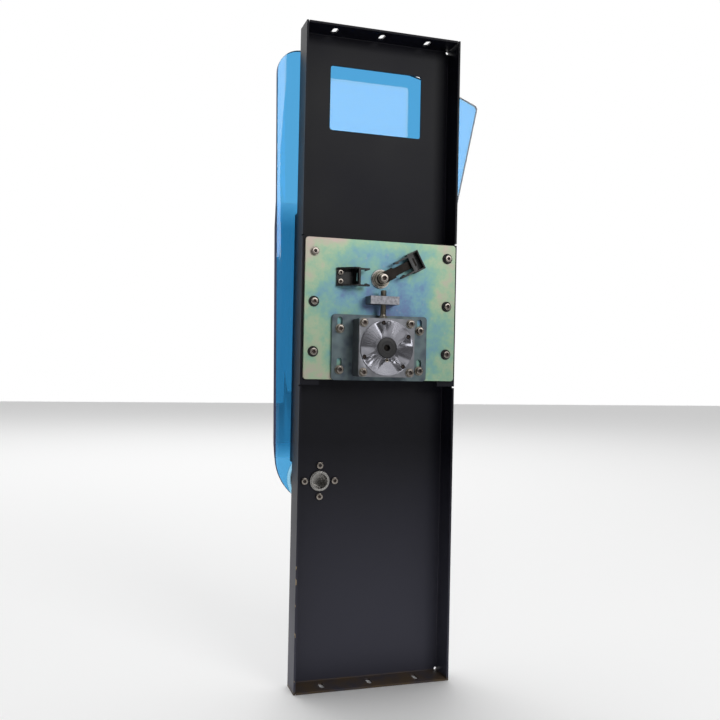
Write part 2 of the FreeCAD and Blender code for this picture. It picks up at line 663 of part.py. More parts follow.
def unit_housing():
    """A square housing, hollow from the cover's side, with a bearing seat in its end wall."""
    body = new_body("unit_housing")
    outline = new_sketch(body, "XZ_Plane")
    rectangle(outline, "-unit_side/2", "unit_side/2", "-unit_side/2", "unit_side/2")
    pad(body, outline, "unit_deep")
    place(body, "axis_x", UNIT_FACE, "unit_z")
    round_edges(body, "unit_corner", lambda edge: runs_along(edge, "y"))
    for radius, depth in (("cover_r + seat", "cover_thick - cover_proud"),
                          ("unit_cavity_r", "unit_deep - unit_end_wall"),
                          ("front_bearing_r", "unit_deep - unit_end_wall + bearing_wide"),
                          ("unit_shaft_r + unit_shaft_slack", None)):
        step = new_sketch(body, "XZ_Plane")
        circle(step, "0", "0", radius)
        pocket(body, step, depth)
    corners = new_sketch(body, "XZ_Plane")
    for side in (-1, 1):
        for row in (-1, 1):
            circle(corners, "%d*unit_hole_pitch/2" % side, "%d*unit_hole_pitch/2" % row,
                   "m_four + hole_slack")
    pocket(body, corners)
    taps = new_sketch(body, "XZ_Plane")
    for x, _, z in ring_places("0", "0", "cover_screw_ring", COVER_ANGLES, "0"):
        circle(taps, x, z, "cover_screw_r")
    pocket(body, taps, "cover_thick + tap_spare")
    return body


def unit_cover():
    """The turned cover: a disc with an inner boss that seats the rear bearing."""
    body = turned("unit_cover", [
        ("hub_face_r + hub_gap", "0"), ("cover_r", "0"), ("cover_r", "cover_thick"),
        ("cover_boss_r", "cover_thick"), ("cover_boss_r", "cover_thick + cover_boss_deep"),
        ("rear_bearing_r", "cover_thick + cover_boss_deep"), ("rear_bearing_r", "cover_thick"),
        ("hub_face_r + hub_gap", "cover_thick")],
        "axis_x", UNIT_FACE + " - cover_proud", "unit_z")
    sinks = new_sketch(body, "XZ_Plane")
    for x, _, z in ring_places("0", "0", "cover_screw_ring", COVER_ANGLES, "0"):
        circle(sinks, x, z, "cover_sink_r")
    pocket(body, sinks, "cover_sink_deep")
    shanks = new_sketch(body, "XZ_Plane")
    for x, _, z in ring_places("0", "0", "cover_screw_ring", COVER_ANGLES, "0"):
        circle(shanks, x, z, "cover_screw_r + cover_slack")
    pocket(body, shanks)
    seat = new_sketch(body, "XZ_Plane")
    circle(seat, "0", "-eyelet_ring", "eyelet_hole_r + cover_slack")
    pocket(body, seat)
    return body


def unit_inside():
    """Shaft, hub, magnet ring, winding and the two bearings of the drive unit."""
    face = UNIT_FACE + " - cover_proud"
    end_wall = UNIT_FACE + " + unit_deep - unit_end_wall"
    turned("unit_hub", [
        ("hub_hole_r", "0"), ("hub_face_r", "0"), ("hub_face_r", "hub_face_thick"),
        ("hub_stem_r", "hub_face_thick"), ("hub_stem_r", "hub_face_thick + hub_stem_long"),
        ("unit_shaft_r", "hub_face_thick + hub_stem_long"),
        ("unit_shaft_r", "hub_face_thick + hub_shoulder"),
        ("hub_hole_r", "hub_face_thick + hub_shoulder")], "axis_x", face, "unit_z")
    shaft_start = face + " + hub_face_thick + hub_shoulder"
    shaft = rod("unit_shaft_r", "belt_y + belt_wide/2 + unit_shaft_past - (" + shaft_start + ")",
                "axis_x", shaft_start, "unit_z")
    keep(shaft, "unit_shaft")
    turned("unit_rotor", ring_profile("unit_shaft_r", "rotor_r", "0", "rotor_long"),
           "axis_x", end_wall + " - rotor_long - rotor_gap", "unit_z")
    turned("unit_stator", ring_profile("stator_in_r", "stator_out_r", "0", "stator_long"),
           "axis_x", end_wall + " - stator_long", "unit_z")
    turned("unit_front_bearing",
           ring_profile("unit_shaft_r + running_fit", "front_bearing_r", "0", "bearing_wide"),
           "axis_x", end_wall, "unit_z")
    turned("unit_rear_bearing",
           ring_profile("hub_stem_r + running_fit", "rear_bearing_r", "0",
                        "cover_boss_deep - 2*bearing_float"),
           "axis_x", face + " + cover_thick + bearing_float", "unit_z")


def unit_fasteners():
    """Corner screws on washers, black cover screws sunk in the disc, and one small eyelet."""
    group("unit_corner_screws", screw("four", "washer_thick + unit_deep + bracket_thick"),
          unit_screw_places(UNIT_FACE + " - washer_thick"))
    group("unit_corner_washers", washer("washer_corner", "m_four", "washer_thick"),
          unit_screw_places(UNIT_FACE))
    head = rod("cover_head_r", "cover_head_high", y="-cover_head_high")
    cover_screw = cut(fuse(head, rod("cover_screw_r", "cover_screw_long")),
                      hexagon("cover_socket", "cover_socket", y="-cover_head_high"))
    group("unit_cover_screws", cover_screw,
          ring_places("axis_x", "unit_z", "cover_screw_ring", COVER_ANGLES,
                      UNIT_FACE + " - cover_proud + cover_sink_deep"))
    turned("cover_eyelet", [
        ("eyelet_hole_r - eyelet_wall", "0"), ("eyelet_r", "0"), ("eyelet_r", "eyelet_rim"),
        ("eyelet_hole_r", "eyelet_rim"), ("eyelet_hole_r", "eyelet_deep"),
        ("eyelet_hole_r - eyelet_wall", "eyelet_deep")],
        "axis_x", UNIT_FACE + " - cover_proud - eyelet_rim", "unit_z - eyelet_ring")


# Jack that tensions the belt.

def jack_screw_places(y):
    return [("axis_x + %d*jack_screw_pitch/2" % side, y, "jack_block_z + jack_block_high/2")
            for side in (-1, 1)]


def jack():
    """A block on the drive plate whose upright screw bears on the drive unit's top."""
    body = new_body("jack_block")
    outline = new_sketch(body, "XZ_Plane")
    rectangle(outline, "-jack_block_width/2", "jack_block_width/2", "0", "jack_block_high")
    pad(body, outline, "jack_block_deep")
    place(body, "axis_x", PLATE_FACE + " - jack_block_deep", "jack_block_z")
    thread = new_sketch(body, "XY_Plane")
    circle(thread, "0", "jack_block_deep - jack_out", "jack_r")
    pocket(body, thread, away=False)
    taps = new_sketch(body, "XZ_Plane")
    tie(taps, "AttachmentOffset.Base.z", "-(jack_block_deep - jack_tap)")
    for side in (-1, 1):
        circle(taps, "%d*jack_screw_pitch/2" % side, "jack_block_high/2", "m_three")
    pocket(body, taps)
    unit_top = "(unit_z + unit_side/2)"
    y = PLATE_FACE + " - jack_out"
    spindle = doc.addObject("Part::Cylinder", "jack_rod")
    tie(spindle, "Radius", "jack_r")
    tie(spindle, "Height", "jack_top - " + unit_top + " - jack_foot_high")
    place(spindle, "axis_x", y, unit_top + " + jack_foot_high")
    socket = doc.addObject("Part::Prism", "jack_socket")
    socket.Polygon = 6
    tie(socket, "Circumradius", "socket_four")
    tie(socket, "Height", "jack_socket_deep + past")
    place(socket, "axis_x", y, "jack_top - jack_socket_deep")
    keep(cut(spindle, socket), "jack_screw")
    foot = doc.addObject("Part::Cylinder", "jack_foot")
    tie(foot, "Radius", "jack_foot_r")
    tie(foot, "Height", "jack_foot_high")
    place(foot, "axis_x", y, unit_top)
    keep(foot, "jack_foot")
    group("jack_block_screws", screw("three", "plate_thick + jack_screw_in"),
          jack_screw_places(RIM), flip=True)


# Crank shaft line.

def crank_line():
    """Crank shaft with its bearings, spacer, retaining screws and pulley."""
    turned("rear_bearing", ring_profile("shaft_r + running_fit", "ball_bearing_r", "0",
                                        "bearing_wide"),
           "axis_x", PLATE_FACE + " - bearing_proud", "crank_z")
    turned("front_bearing", ring_profile("shaft_r + running_fit", "ball_bearing_r", "0",
                                         "bearing_wide"),
           "axis_x", CHANNEL_FACE, "crank_z")
    start = ARM_FRONT + " + arm_thick"
    shaft = cut(rod("shaft_r", CRANK_FRONT + " - (" + start + ")", "axis_x", start, "crank_z"),
                rod("m_five", "shaft_tap", "axis_x", start, "crank_z"),
                rod("m_five", "shaft_tap", "axis_x", CRANK_FRONT + " - shaft_tap", "crank_z"))
    keep(shaft, "crank_shaft")
    spacer_end = "arm_gap - bearing_proud - spacer_gap"
    spacer_step = spacer_end + " - spacer_step_long"
    turned("shaft_spacer", [
        ("shaft_r", "0"), ("spacer_r", "0"), ("spacer_r", spacer_step),
        ("spacer_step_r", spacer_step), ("spacer_step_r", spacer_end), ("shaft_r", spacer_end)],
        "axis_x", start, "crank_z")
    flat_seat = ARM_FRONT
    spring_seat = flat_seat + " - washer_thick"
    group("arm_screw", screw("five", "washer_thick + spring_thick + arm_thick + shaft_tap"),
          [("axis_x", spring_seat + " - spring_thick", "crank_z")])
    spring, flat = (washer("head_five", "m_five", "spring_thick"),
                    washer("washer_five", "m_five", "washer_thick"))
    bundle("arm_washers", copies(spring, [("axis_x", spring_seat, "crank_z")])
           + copies(flat, [("axis_x", flat_seat, "crank_z")]))
    head = rod("low_five_r", "low_five_high", y="-low_five_high")
    low_head = cut(fuse(head, rod("m_five", "low_five_long")),
                   hexagon("socket_five", "low_five_socket", y="-low_five_high"))
    group("crank_screw", low_head, [("axis_x", CRANK_FRONT, "crank_z")], flip=True)


def flag_arm():
    """The position arm: a flat bar with shoulders that the snap clip grips."""
    body = new_body("flag_arm")
    outline = new_sketch(body, "XZ_Plane")
    half, neck = "arm_width/2", "arm_neck/2"
    polygon(outline, [
        ("-" + half, "-" + half), ("arm_shoulder", "-" + half), ("arm_shoulder", "-" + neck),
        ("arm_length", "-" + neck), ("arm_length", neck), ("arm_shoulder", neck),
        ("arm_shoulder", half), ("-" + half, half)])
    pad(body, outline, "arm_thick")
    back = SIZES["arm_width"] / 2
    round_edges(body, "arm_width/2 - arm_flat/2",
                lambda edge: runs_along(edge, "y") and near(edge, "x", -back))
    hole = new_sketch(body, "XZ_Plane")
    circle(hole, "0", "0", "m_five + hole_slack")
    pocket(body, hole)
    turn(body, Vector(0, -1, 0), "arm_angle * 1 deg")
    place(body, "axis_x", ARM_FRONT, "crank_z")


def snap_clip(label):
    """A moulded clip along +X: an end box and two sprung legs with barbs that point back."""
    body = new_body(label)
    box = new_sketch(body, "XZ_Plane")
    rectangle(box, "clip_back", "clip_end", "-clip_width/2", "clip_width/2")
    pad(body, box, "clip_deep")
    hollow = new_sketch(body, "XZ_Plane")
    rectangle(hollow, "clip_back + 2*clip_wall", "clip_end - clip_wall",
              "-clip_width/2 + clip_wall", "clip_width/2 - clip_wall")
    pocket(body, hollow, "clip_deep - clip_wall")
    for side in ("1", "-1"):
        leg = new_sketch(body, "XZ_Plane")
        outer = side + "*(clip_leg_x + clip_leg_thick)"
        inner = side + "*clip_leg_x"
        barb = side + "*(clip_leg_x - barb_out)"
        polygon(leg, [("clip_tip", outer), ("clip_tip", inner),
                      ("clip_tip + barb_long", barb), ("clip_tip + barb_long", inner),
                      ("clip_back + leg_root", inner), ("clip_back + leg_root", outer)])
        pad(body, leg, "clip_deep - leg_step")
    return body


def arm_clip():
    """The clip on the arm: its web has a socket that the arm's end fills."""
    body = snap_clip("arm_clip")
    socket = new_sketch(body, "XZ_Plane")
    tie(socket, "AttachmentOffset.Base.z", "-(clip_deep - clip_wall - arm_thick - seat)")
    rectangle(socket, "clip_back - past", "arm_length + seat", "-arm_neck/2 - seat",
              "arm_neck/2 + seat")
    pocket(body, socket, "arm_thick + 2*seat")
    turn(body, Vector(0, -1, 0), "arm_angle * 1 deg")
    place(body, "axis_x", ARM_FRONT + " - (clip_deep - clip_wall - arm_thick)", "crank_z")


# Fixed sensor bracket and its clip.

def sensor_screw_places(y):
    return [("sensor_screw_x", y, "crank_z + %d*sensor_screw_pitch/2" % side) for side in (-1, 1)]


def sensor_bracket():
    """A folded foot and wall with two sloping cheeks, facing the crank shaft."""
    body = new_body("sensor_bracket")
    cheek = new_sketch(body, "XY_Plane")
    polygon(cheek, [("0", "0"), ("sensor_wall_x - sensor_foot_x + sensor_thick", "0"),
                    ("sensor_wall_x - sensor_foot_x + sensor_thick", "-sensor_wall_out"),
                    ("sensor_wall_x - sensor_foot_x - sensor_cheek_flat", "-sensor_wall_out"),
                    ("0", "-2*sensor_thick")])
    pad(body, cheek, "sensor_width", away=False)
    place(body, "sensor_foot_x", PLATE_FACE, "crank_z - sensor_width/2")
    hollow = new_sketch(body, "XY_Plane")
    tie(hollow, "AttachmentOffset.Base.z", "sensor_thick")
    rectangle(hollow, "-past", "sensor_wall_x - sensor_foot_x", "-sensor_wall_out - past",
              "-sensor_thick")
    pocket(body, hollow, "sensor_width - 2*sensor_thick", away=False)
    holes = new_sketch(body, "XZ_Plane")
    tie(holes, "AttachmentOffset.Base.z", "sensor_wall_out + past")
    for side in (-1, 1):
        circle(holes, "sensor_screw_x - sensor_foot_x",
               "sensor_width/2 + %d*sensor_screw_pitch/2" % side, "m_three + hole_slack")
    pocket(body, holes)
    slit = new_sketch(body, "YZ_Plane")
    rectangle(slit, "-sensor_wall_out + slit_margin", "-sensor_thick - slit_margin",
              "sensor_width/2 - slit_half", "sensor_width/2 + slit_half")
    pocket(body, slit, away=False)
    group("sensor_bracket_screws", screw("three", "sensor_thick + plate_thick"),
          sensor_screw_places(PLATE_FACE + " - sensor_thick"))


def sensor_clip():
    """The same legs as the arm's clip, on a short web against the bracket's wall."""
    body = new_body("sensor_clip")
    web = new_sketch(body, "XZ_Plane")
    rectangle(web, "0", "clip_wall", "-sensor_width/2 + sensor_web_inset",
              "sensor_width/2 - sensor_web_inset")
    pad(body, web, "clip_deep")
    for side in ("1", "-1"):
        leg = new_sketch(body, "XZ_Plane")
        outer = side + "*(clip_leg_x + clip_leg_thick)"
        inner = side + "*clip_leg_x"
        barb = side + "*(clip_leg_x - barb_out)"
        tip = "(clip_back - clip_tip - sensor_leg_short)"
        polygon(leg, [("clip_wall - leg_root", inner), (tip + " - barb_long", inner),
                      (tip + " - barb_long", barb), (tip, inner), (tip, outer),
                      ("clip_wall - leg_root", outer)])
        pad(body, leg, "clip_deep - leg_step")
    place(body, "sensor_wall_x + sensor_thick", PLATE_FACE + " - sensor_clip_out - clip_deep",
          "crank_z")


# Belt drive.

def pulley(label, radius, bore, z, teeth):
    """A toothed pulley between two thin flanges; round grooves repeat about its axis."""
    half = "(belt_wide/2 + belt_side_clear)"
    side = "(belt_wide/2 + belt_side_clear + pulley_flange)"
    rim = radius + " + pulley_flange_out"
    body = turned(label, [
        (bore, "-" + side), (rim, "-" + side), (rim, "-" + half), (radius, "-" + half),
        (radius, half), (rim, half), (rim, side), (bore, side)], "axis_x", "belt_y", z)
    polar_holes(body, radius, "groove_r", SIZES[teeth], "0 deg", "2*" + half, "-" + half)
    return body


def drive_belt():
    """A closed loop round both pulleys: two arcs and the two straight runs between them."""
    body = new_body("drive_belt")
    inner_big, inner_small = "(big_pulley_r + belt_clear)", "(small_pulley_r + belt_clear)"
    lean = "asin((big_pulley_r - small_pulley_r)/(crank_z - unit_z))"
    outer_sketch = new_sketch(body, "XZ_Plane")
    belt_outline(outer_sketch, inner_big + " + belt_thick", inner_small + " + belt_thick", lean)
    pad(body, outer_sketch, "belt_wide")
    inner_sketch = new_sketch(body, "XZ_Plane")
    belt_outline(inner_sketch, inner_big, inner_small, lean)
    pocket(body, inner_sketch)
    place(body, "axis_x", "belt_y - belt_wide/2", "unit_z")


def belt_outline(sketch, big, small, lean):
    """Two arcs joined by their outer tangents; the small arc's centre is the sketch's origin."""
    distance = SIZES["crank_z"] - SIZES["unit_z"]
    tilt = math.asin((SIZES["big_pulley_r"] - SIZES["small_pulley_r"]) / distance)
    big_r, small_r = SIZES["big_pulley_r"] + 1, SIZES["small_pulley_r"] + 1
    up, straight = Vector(0, distance, 0), Vector(0, 0, 1)
    top = sketch.addGeometry(Part.ArcOfCircle(Part.Circle(up, straight, big_r),
                                              -tilt, math.pi + tilt), False)
    low = sketch.addGeometry(Part.ArcOfCircle(Part.Circle(Vector(0, 0, 0), straight, small_r),
                                              math.pi + tilt, math.tau - tilt), False)
    arcs = [(top, 2, low, 1), (low, 2, top, 1)]
    for start_arc, start_end, finish_arc, finish_end in arcs:
        line = sketch.addGeometry(Part.LineSegment(
            sketch.getPoint(start_arc, start_end), sketch.getPoint(finish_arc, finish_end)), False)
        sketch.addConstraint(Sketcher.Constraint("Tangent", start_arc, start_end, line, 1))
        sketch.addConstraint(Sketcher.Constraint("Tangent", line, 2, finish_arc, finish_end))
    for arc, radius in ((top, big), (low, small)):
        index = sketch.addConstraint(Sketcher.Constraint("Radius", arc, big_r))
        tie(sketch, "Constraints[%d]" % index, radius)
    datum(sketch, "DistanceX", low, 3, "0")
    datum(sketch, "DistanceY", low, 3, "0")
    datum(sketch, "DistanceX", top, 3, "0")
    datum(sketch, "DistanceY", top, 3, "crank_z - unit_z")


# Front of the tray: channel, bearing holder, crank.

def front_channel():
    """A folded channel on the tray's front, open towards the wing, that houses the crank."""
    body = new_body("front_channel")
    outline = new_sketch(body, "XZ_Plane")
    rectangle(outline, "-" + CHANNEL_SIDE, CHANNEL_SIDE, "channel_low", CHANNEL_TOP)
    pad(body, outline, "channel_deep")
    place(body, y=FLOOR_OUT)
    hollow = new_sketch(body, "XZ_Plane")
    tie(hollow, "AttachmentOffset.Base.z", "-channel_wall")
    rectangle(hollow, "-" + CHANNEL_SIDE + " + channel_wall", CHANNEL_SIDE + " - channel_wall",
              "channel_low - past", CHANNEL_TOP + " + past")
    pocket(body, hollow)
    half = SIZES["axis_x"] + SIZES["crank_r"] + SIZES["channel_side"]
    round_edges(body, "bend_inner", lambda edge: runs_along(edge, "z")
                and near(edge, "y", SIZES["tray_depth"] / 2)
                and (near(edge, "x", half) or near(edge, "x", -half)))
    holes = new_sketch(body, "XZ_Plane")
    for x, _, z in channel_screw_places("0"):
        circle(holes, x, z, "m_four + hole_slack")
    circle(holes, "axis_x", "crank_z", "shaft_r + shaft_clear")
    for x, _, z in ring_places("axis_x", "crank_z", "holder_ring", QUARTER_ANGLES, "0"):
        circle(holes, x, z, "m_three + hole_slack")
    pocket(body, holes)
    relief = new_sketch(body, "XZ_Plane")
    circle(relief, "pivot_x", "pivot_z", "housing_flange_r + piece_clear")
    pocket(body, relief)
    group("channel_screws", screw("four", "channel_wall + tray_wall + nut_thick + past"),
          channel_screw_places(CHANNEL_FACE), flip=True)
    small = nut("nut_three", "m_three", "nut_thin")
    bundle("channel_nuts", copies(nut("nut_four", "m_four", "nut_thick"),
                                  channel_screw_places(FLOOR_IN + " - nut_thick"))
           + copies(small, ring_places("axis_x", "crank_z", "holder_ring", QUARTER_ANGLES,
                                       FLOOR_IN + " - nut_thin")))


def bearing_holder():
    """A flanged holder on the channel for the crank shaft's front bearing."""
    body = turned("bearing_holder", [
        ("ball_bearing_r", "0"), ("holder_flange_r", "0"), ("holder_flange_r", "holder_flange"),
        ("holder_boss_r", "holder_flange"), ("holder_boss_r", "bearing_wide"),
        ("ball_bearing_r", "bearing_wide")], "axis_x", CHANNEL_FACE, "crank_z")
    polar_holes(body, "holder_ring", "m_three + hole_slack", 4, "0 deg")
    reach = "holder_flange + channel_wall + tray_wall + holder_screw_past"
    low_screw = cut(fuse(rod("low_three_r", "low_three_high", y="-low_three_high"),
                         rod("m_three", reach)),
                    hexagon("socket_three", "low_three_socket", y="-low_three_high"))
    group("holder_screws", low_screw,
          ring_places("axis_x", "crank_z", "holder_ring", QUARTER_ANGLES,
                      CHANNEL_FACE + " + holder_flange"), flip=True)


def crank_arm():
    """A flat crank: a hub disc and a tip disc joined by a bar, with a pin and a roller."""
    body = new_body("crank_arm")
    bar = new_sketch(body, "XZ_Plane")
    polygon(bar, [("0", "-crank_bar_hub"), ("crank_r", "-crank_bar_tip"),
                  ("crank_r", "crank_bar_tip"), ("0", "crank_bar_hub")])
    pad(body, bar, "crank_thick")
    for x, radius in (("0", "crank_hub_r"), ("crank_r", "crank_tip_r")):
        disc = new_sketch(body, "XZ_Plane")
        circle(disc, x, "0", radius)
        pad(body, disc, "crank_thick")
    bore = new_sketch(body, "XZ_Plane")
    circle(bore, "0", "0", "shaft_r")
    circle(bore, "crank_r", "0", "pin_r")
    pocket(body, bore)
    turn(body, Vector(0, -1, 0), CRANK_ANGLE)
    place(body, "axis_x", CRANK_REAR, "crank_z")
    x = "axis_x + crank_r*cos(" + CRANK_ANGLE + ")"
    z = "crank_z + crank_r*sin(" + CRANK_ANGLE + ")"
    end = WING_REAR + " - roller_wing_gap"
    keep(rod("pin_r", end + " - " + CRANK_REAR, x, CRANK_REAR, z), "crank_pin")
    turned("crank_roller", ring_profile("pin_r + running_fit", "roller_r", "0", "roller_long"),
           x, end + " - roller_long", z)


# Wing pivot.

def wing_pivot():
    """Housing, bronze bush, hollow spindle with its circlip, and a thrust washer."""
    body = turned("spindle_housing", [
        ("bush_out_r", "0"), ("housing_flange_r", "0"), ("housing_flange_r", "housing_flange"),
        ("housing_boss_r", "housing_flange"), ("housing_boss_r", "housing_long"),
        ("bush_out_r", "housing_long")], "pivot_x", FLOOR_OUT, "pivot_z")
    polar_holes(body, "housing_ring", "m_four", 4, "0 deg", "housing_flange")
    turned("spindle_bush", ring_profile("spindle_r + running_fit", "bush_out_r",
                                        "-tray_wall - bush_proud", "housing_long"),
           "pivot_x", FLOOR_OUT, "pivot_z")
    group("housing_screws", screw("four", "tray_wall + housing_flange"),
          ring_places("pivot_x", "pivot_z", "housing_ring", QUARTER_ANGLES, FLOOR_IN))
    inner_end = "-tray_wall - bush_proud - circlip_thick - spindle_past"
    clip_end = "-tray_wall - bush_proud - seat"
    hub = "wing_gap + wing_recess_deep"
    spindle = turned("wing_spindle", [
        ("spindle_bore_r", inner_end), ("spindle_r", inner_end),
        ("spindle_r", clip_end + " - circlip_thick - seat"),
        ("spindle_r - circlip_groove/2", clip_end + " - circlip_thick - seat"),
        ("spindle_r - circlip_groove/2", clip_end), ("spindle_r", clip_end),
        ("spindle_r", hub + " - hub_flange"), ("hub_flange_r", hub + " - hub_flange"),
        ("hub_flange_r", hub), ("0", hub), ("0", "spindle_bore_deep"),
        ("spindle_bore_r", "spindle_bore_deep")], "pivot_x", FLOOR_OUT, "pivot_z")
    polar_holes(spindle, "hub_screw_ring", "m_four", 6, "0 deg", "hub_flange",
                hub + " - hub_flange")
    turned("spindle_circlip", ring_profile("spindle_r - circlip_groove/2 + seat/2", "bush_out_r",
                                           clip_end + " - circlip_thick", clip_end + " - seat/2"),
           "pivot_x", FLOOR_OUT, "pivot_z")
    turned("thrust_washer", ring_profile("spindle_r + thrust_slack", "thrust_r", "housing_long + seat",
                                         hub + " - hub_flange - seat"),
           "pivot_x", FLOOR_OUT, "pivot_z")


# Acrylic wing.

def edge_x(side, height):
    """The wing's leading or trailing edge, measured from the pivot, at a height above it."""
    if side == "lead":
        return "(-wing_lead - (%s)*tan(wing_lead_lean * 1 deg))" % height
    return "(wing_trail + (%s)*tan(wing_trail_lean * 1 deg))" % height


def wing_panel():
    """A fan-shaped sheet: two leaning edges, a flat heel and a top arc about the pivot."""
    body = new_body("wing_panel")
    outline = new_sketch(body, "XZ_Plane")
    polygon(outline, [(edge_x("lead", "-wing_drop"), "-wing_drop"),
                      (edge_x("trail", "-wing_drop"), "-wing_drop"),
                      (edge_x("trail", "wing_radius"), "wing_radius"),
                      (edge_x("lead", "wing_radius"), "wing_radius")])
    pad(body, outline, "wing_thick")
    place(body, "pivot_x", WING_REAR, "pivot_z")
    trim = new_sketch(body, "XZ_Plane")
    circle(trim, "0", "0", "wing_radius")
    start = 2.0 * SIZES["wing_radius"]
    far = trim.addGeometry(Part.Circle(Vector(0, 0, 0), Vector(0, 0, 1), start), False)
    limit = trim.addConstraint(Sketcher.Constraint("Radius", far, start))
    tie(trim, "Constraints[%d]" % limit, "2*wing_radius")
    trim.addConstraint(Sketcher.Constraint("Coincident", far, 3, -1, 1))
    pocket(body, trim)
    corners = (("wing_low_corner", True, True), ("wing_heel_corner", False, True),
               ("wing_top_corner", True, False), ("wing_trail_corner", False, False))
    for radius, leading, lower in corners:
        round_edges(body, radius, lambda edge: runs_along(edge, "y")
                    and (edge.BoundBox.XMin < SIZES["pivot_x"]) == leading
                    and is_outline_corner(edge, lower))
    recess = new_sketch(body, "XZ_Plane")
    circle(recess, "0", "0", "wing_recess_r")
    pocket(body, recess, "wing_recess_deep")
    holes = new_sketch(body, "XZ_Plane")
    for x, _, z in ring_places("0", "0", "hub_screw_ring", SIXTH_ANGLES, "0"):
        circle(holes, x, z, "m_four + hole_slack")
    for x, _, z in slot_plate_places("0"):
        circle(holes, x + " - pivot_x", z + " - pivot_z", "m_four + hole_slack")
    pocket(body, holes)


def is_outline_corner(edge, lower):
    """True for an unrounded corner on the heel, or on the top arc, whichever is asked for."""
    across = edge.BoundBox.XMin - SIZES["pivot_x"]
    up = edge.BoundBox.ZMin - SIZES["pivot_z"]
    if lower:
        return abs(up + SIZES["wing_drop"]) < SAME_PLACE and not between_roundings(across)
    return abs(math.hypot(across, up) - SIZES["wing_radius"]) < SAME_PLACE


def between_roundings(across):
    """True for the end of a heel rounding, which lies inside the outline's two corners."""
    lead_shift = SIZES["wing_drop"] * math.tan(math.radians(SIZES["wing_lead_lean"]))
    trail_shift = SIZES["wing_drop"] * math.tan(math.radians(SIZES["wing_trail_lean"]))
    lead = lead_shift - SIZES["wing_lead"]
    trail = SIZES["wing_trail"] - trail_shift
    return lead + SAME_PLACE < across < trail - SAME_PLACE


def wing_doubler():
    """A second sheet bonded to the wing's front, flush with both edges, tapered at both ends."""
    body = new_body("wing_doubler")
    low, high = "doubler_low - pivot_z", "doubler_high - pivot_z"
    outline = new_sketch(body, "XZ_Plane")
    polygon(outline, [(edge_x("lead", low), low), (edge_x("trail", low), low),
                      (edge_x("trail", high), high), (edge_x("lead", high), high)])
    pad(body, outline, "doubler_thick")
    place(body, "pivot_x", WING_FRONT, "pivot_z")
    for end, sign, run in ((high, " + ", "-taper_high"), (low, " - ", "taper_low")):
        taper = new_sketch(body, "YZ_Plane")
        polygon(taper, [("taper_tip", end + sign + "past"), ("taper_tip", end),
                        ("doubler_thick + seat", end + " + (" + run + ")"),
                        ("doubler_thick + past", end + " + (" + run + ")"),
                        ("doubler_thick + past", end + sign + "past")])
        pocket_both(body, taper)
    holes = new_sketch(body, "XZ_Plane")
    for x, _, z in slot_plate_places("0"):
        circle(holes, x + " - pivot_x", z + " - pivot_z", "washer_four + head_clear")
    pocket(body, holes)
    relief = new_sketch(body, "XZ_Plane")
    circle(relief, "0", "0", "clamp_r + piece_clear")
    pocket(body, relief)


def pocket_both(body, sketch):
    """Cuts a sketch through all, to both sides of its plane."""
    feature = body.newObject("PartDesign::Pocket", body.Label + "_taper")
    feature.Profile = sketch
    feature.Type = "ThroughAll"
    before = body.Shape.Volume
    feature.Midplane = True
    doc.recompute()
    if body.Shape.Volume >= before:
        raise RuntimeError(body.Label + ": a taper removed nothing")


def wing_hub():
    """Clamp ring on the wing's front, its screws, and the slotted drive plate on the rear."""
    ring = turned("clamp_ring", ring_profile("clamp_hole_r", "clamp_r", "0", "clamp_thick"),
                  "pivot_x", WING_FRONT, "pivot_z")
    polar_holes(ring, "hub_screw_ring", "m_four + hole_slack", 6, "0 deg")
    group("hub_screws", screw("four", "clamp_thick + wing_thick - wing_recess_deep + hub_flange"),
          ring_places("pivot_x", "pivot_z", "hub_screw_ring", SIXTH_ANGLES,
                      WING_FRONT + " + clamp_thick"), flip=True)
    body = new_body("slot_plate")
    travel = "((" + SLOT_FAR + " - " + SLOT_NEAR + ")/2 + drive_slot_spare)"
    outline = new_sketch(body, "XZ_Plane")
    rectangle(outline, SLOT_MIDDLE + " - slot_plate_length/2",
              SLOT_MIDDLE + " + slot_plate_length/2", "-slot_plate_width/2", "slot_plate_width/2")
    pad(body, outline, "slot_plate_thick")
    round_edges(body, "slot_plate_corner", lambda edge: runs_along(edge, "y"))
    way = new_sketch(body, "XZ_Plane")
    width = "(roller_r + drive_slot_play)"
    rectangle(way, SLOT_MIDDLE + " - " + travel, SLOT_MIDDLE + " + " + travel, "-" + width, width)
    pocket(body, way)
    for end in (" - ", " + "):
        round_end = new_sketch(body, "XZ_Plane")
        circle(round_end, SLOT_MIDDLE + end + travel, "0", width)
        pocket(body, round_end)
    taps = new_sketch(body, "XZ_Plane")
    for along in (-1, 1):
        for across in (-1, 1):
            circle(taps, "%s + %d*slot_screw_along" % (SLOT_MIDDLE, along),
                   "%d*slot_screw_across" % across, "m_four")
    pocket(body, taps)
    turn(body, Vector(0, -1, 0), SLOT_ANGLE)
    place(body, "pivot_x", WING_REAR + " - slot_plate_thick", "pivot_z")
    group("slot_plate_screws", screw("four", "wing_thick + slot_plate_thick"),
          slot_plate_places(WING_FRONT), flip=True)


def check_and_export():
    """Refuses a failed feature or an empty shape, then writes one STEP file for each node."""
    doc.recompute()
    for item in doc.Objects:
        if {"Invalid", "Error"} & set(item.State):
            raise RuntimeError("%s is in state %s" % (item.Label, item.State))
    for item in nodes:
        if item.Shape.isNull() or not item.Shape.isValid() or not item.Shape.Solids:
            raise RuntimeError(item.Label + " has no valid shape")
    os.makedirs("parts", exist_ok=True)
    for item in nodes:
        item.Shape.exportStep("parts/%s.step" % item.Label)
    print("nodes", len(nodes), "solids", sum(len(item.Shape.Solids) for item in nodes))


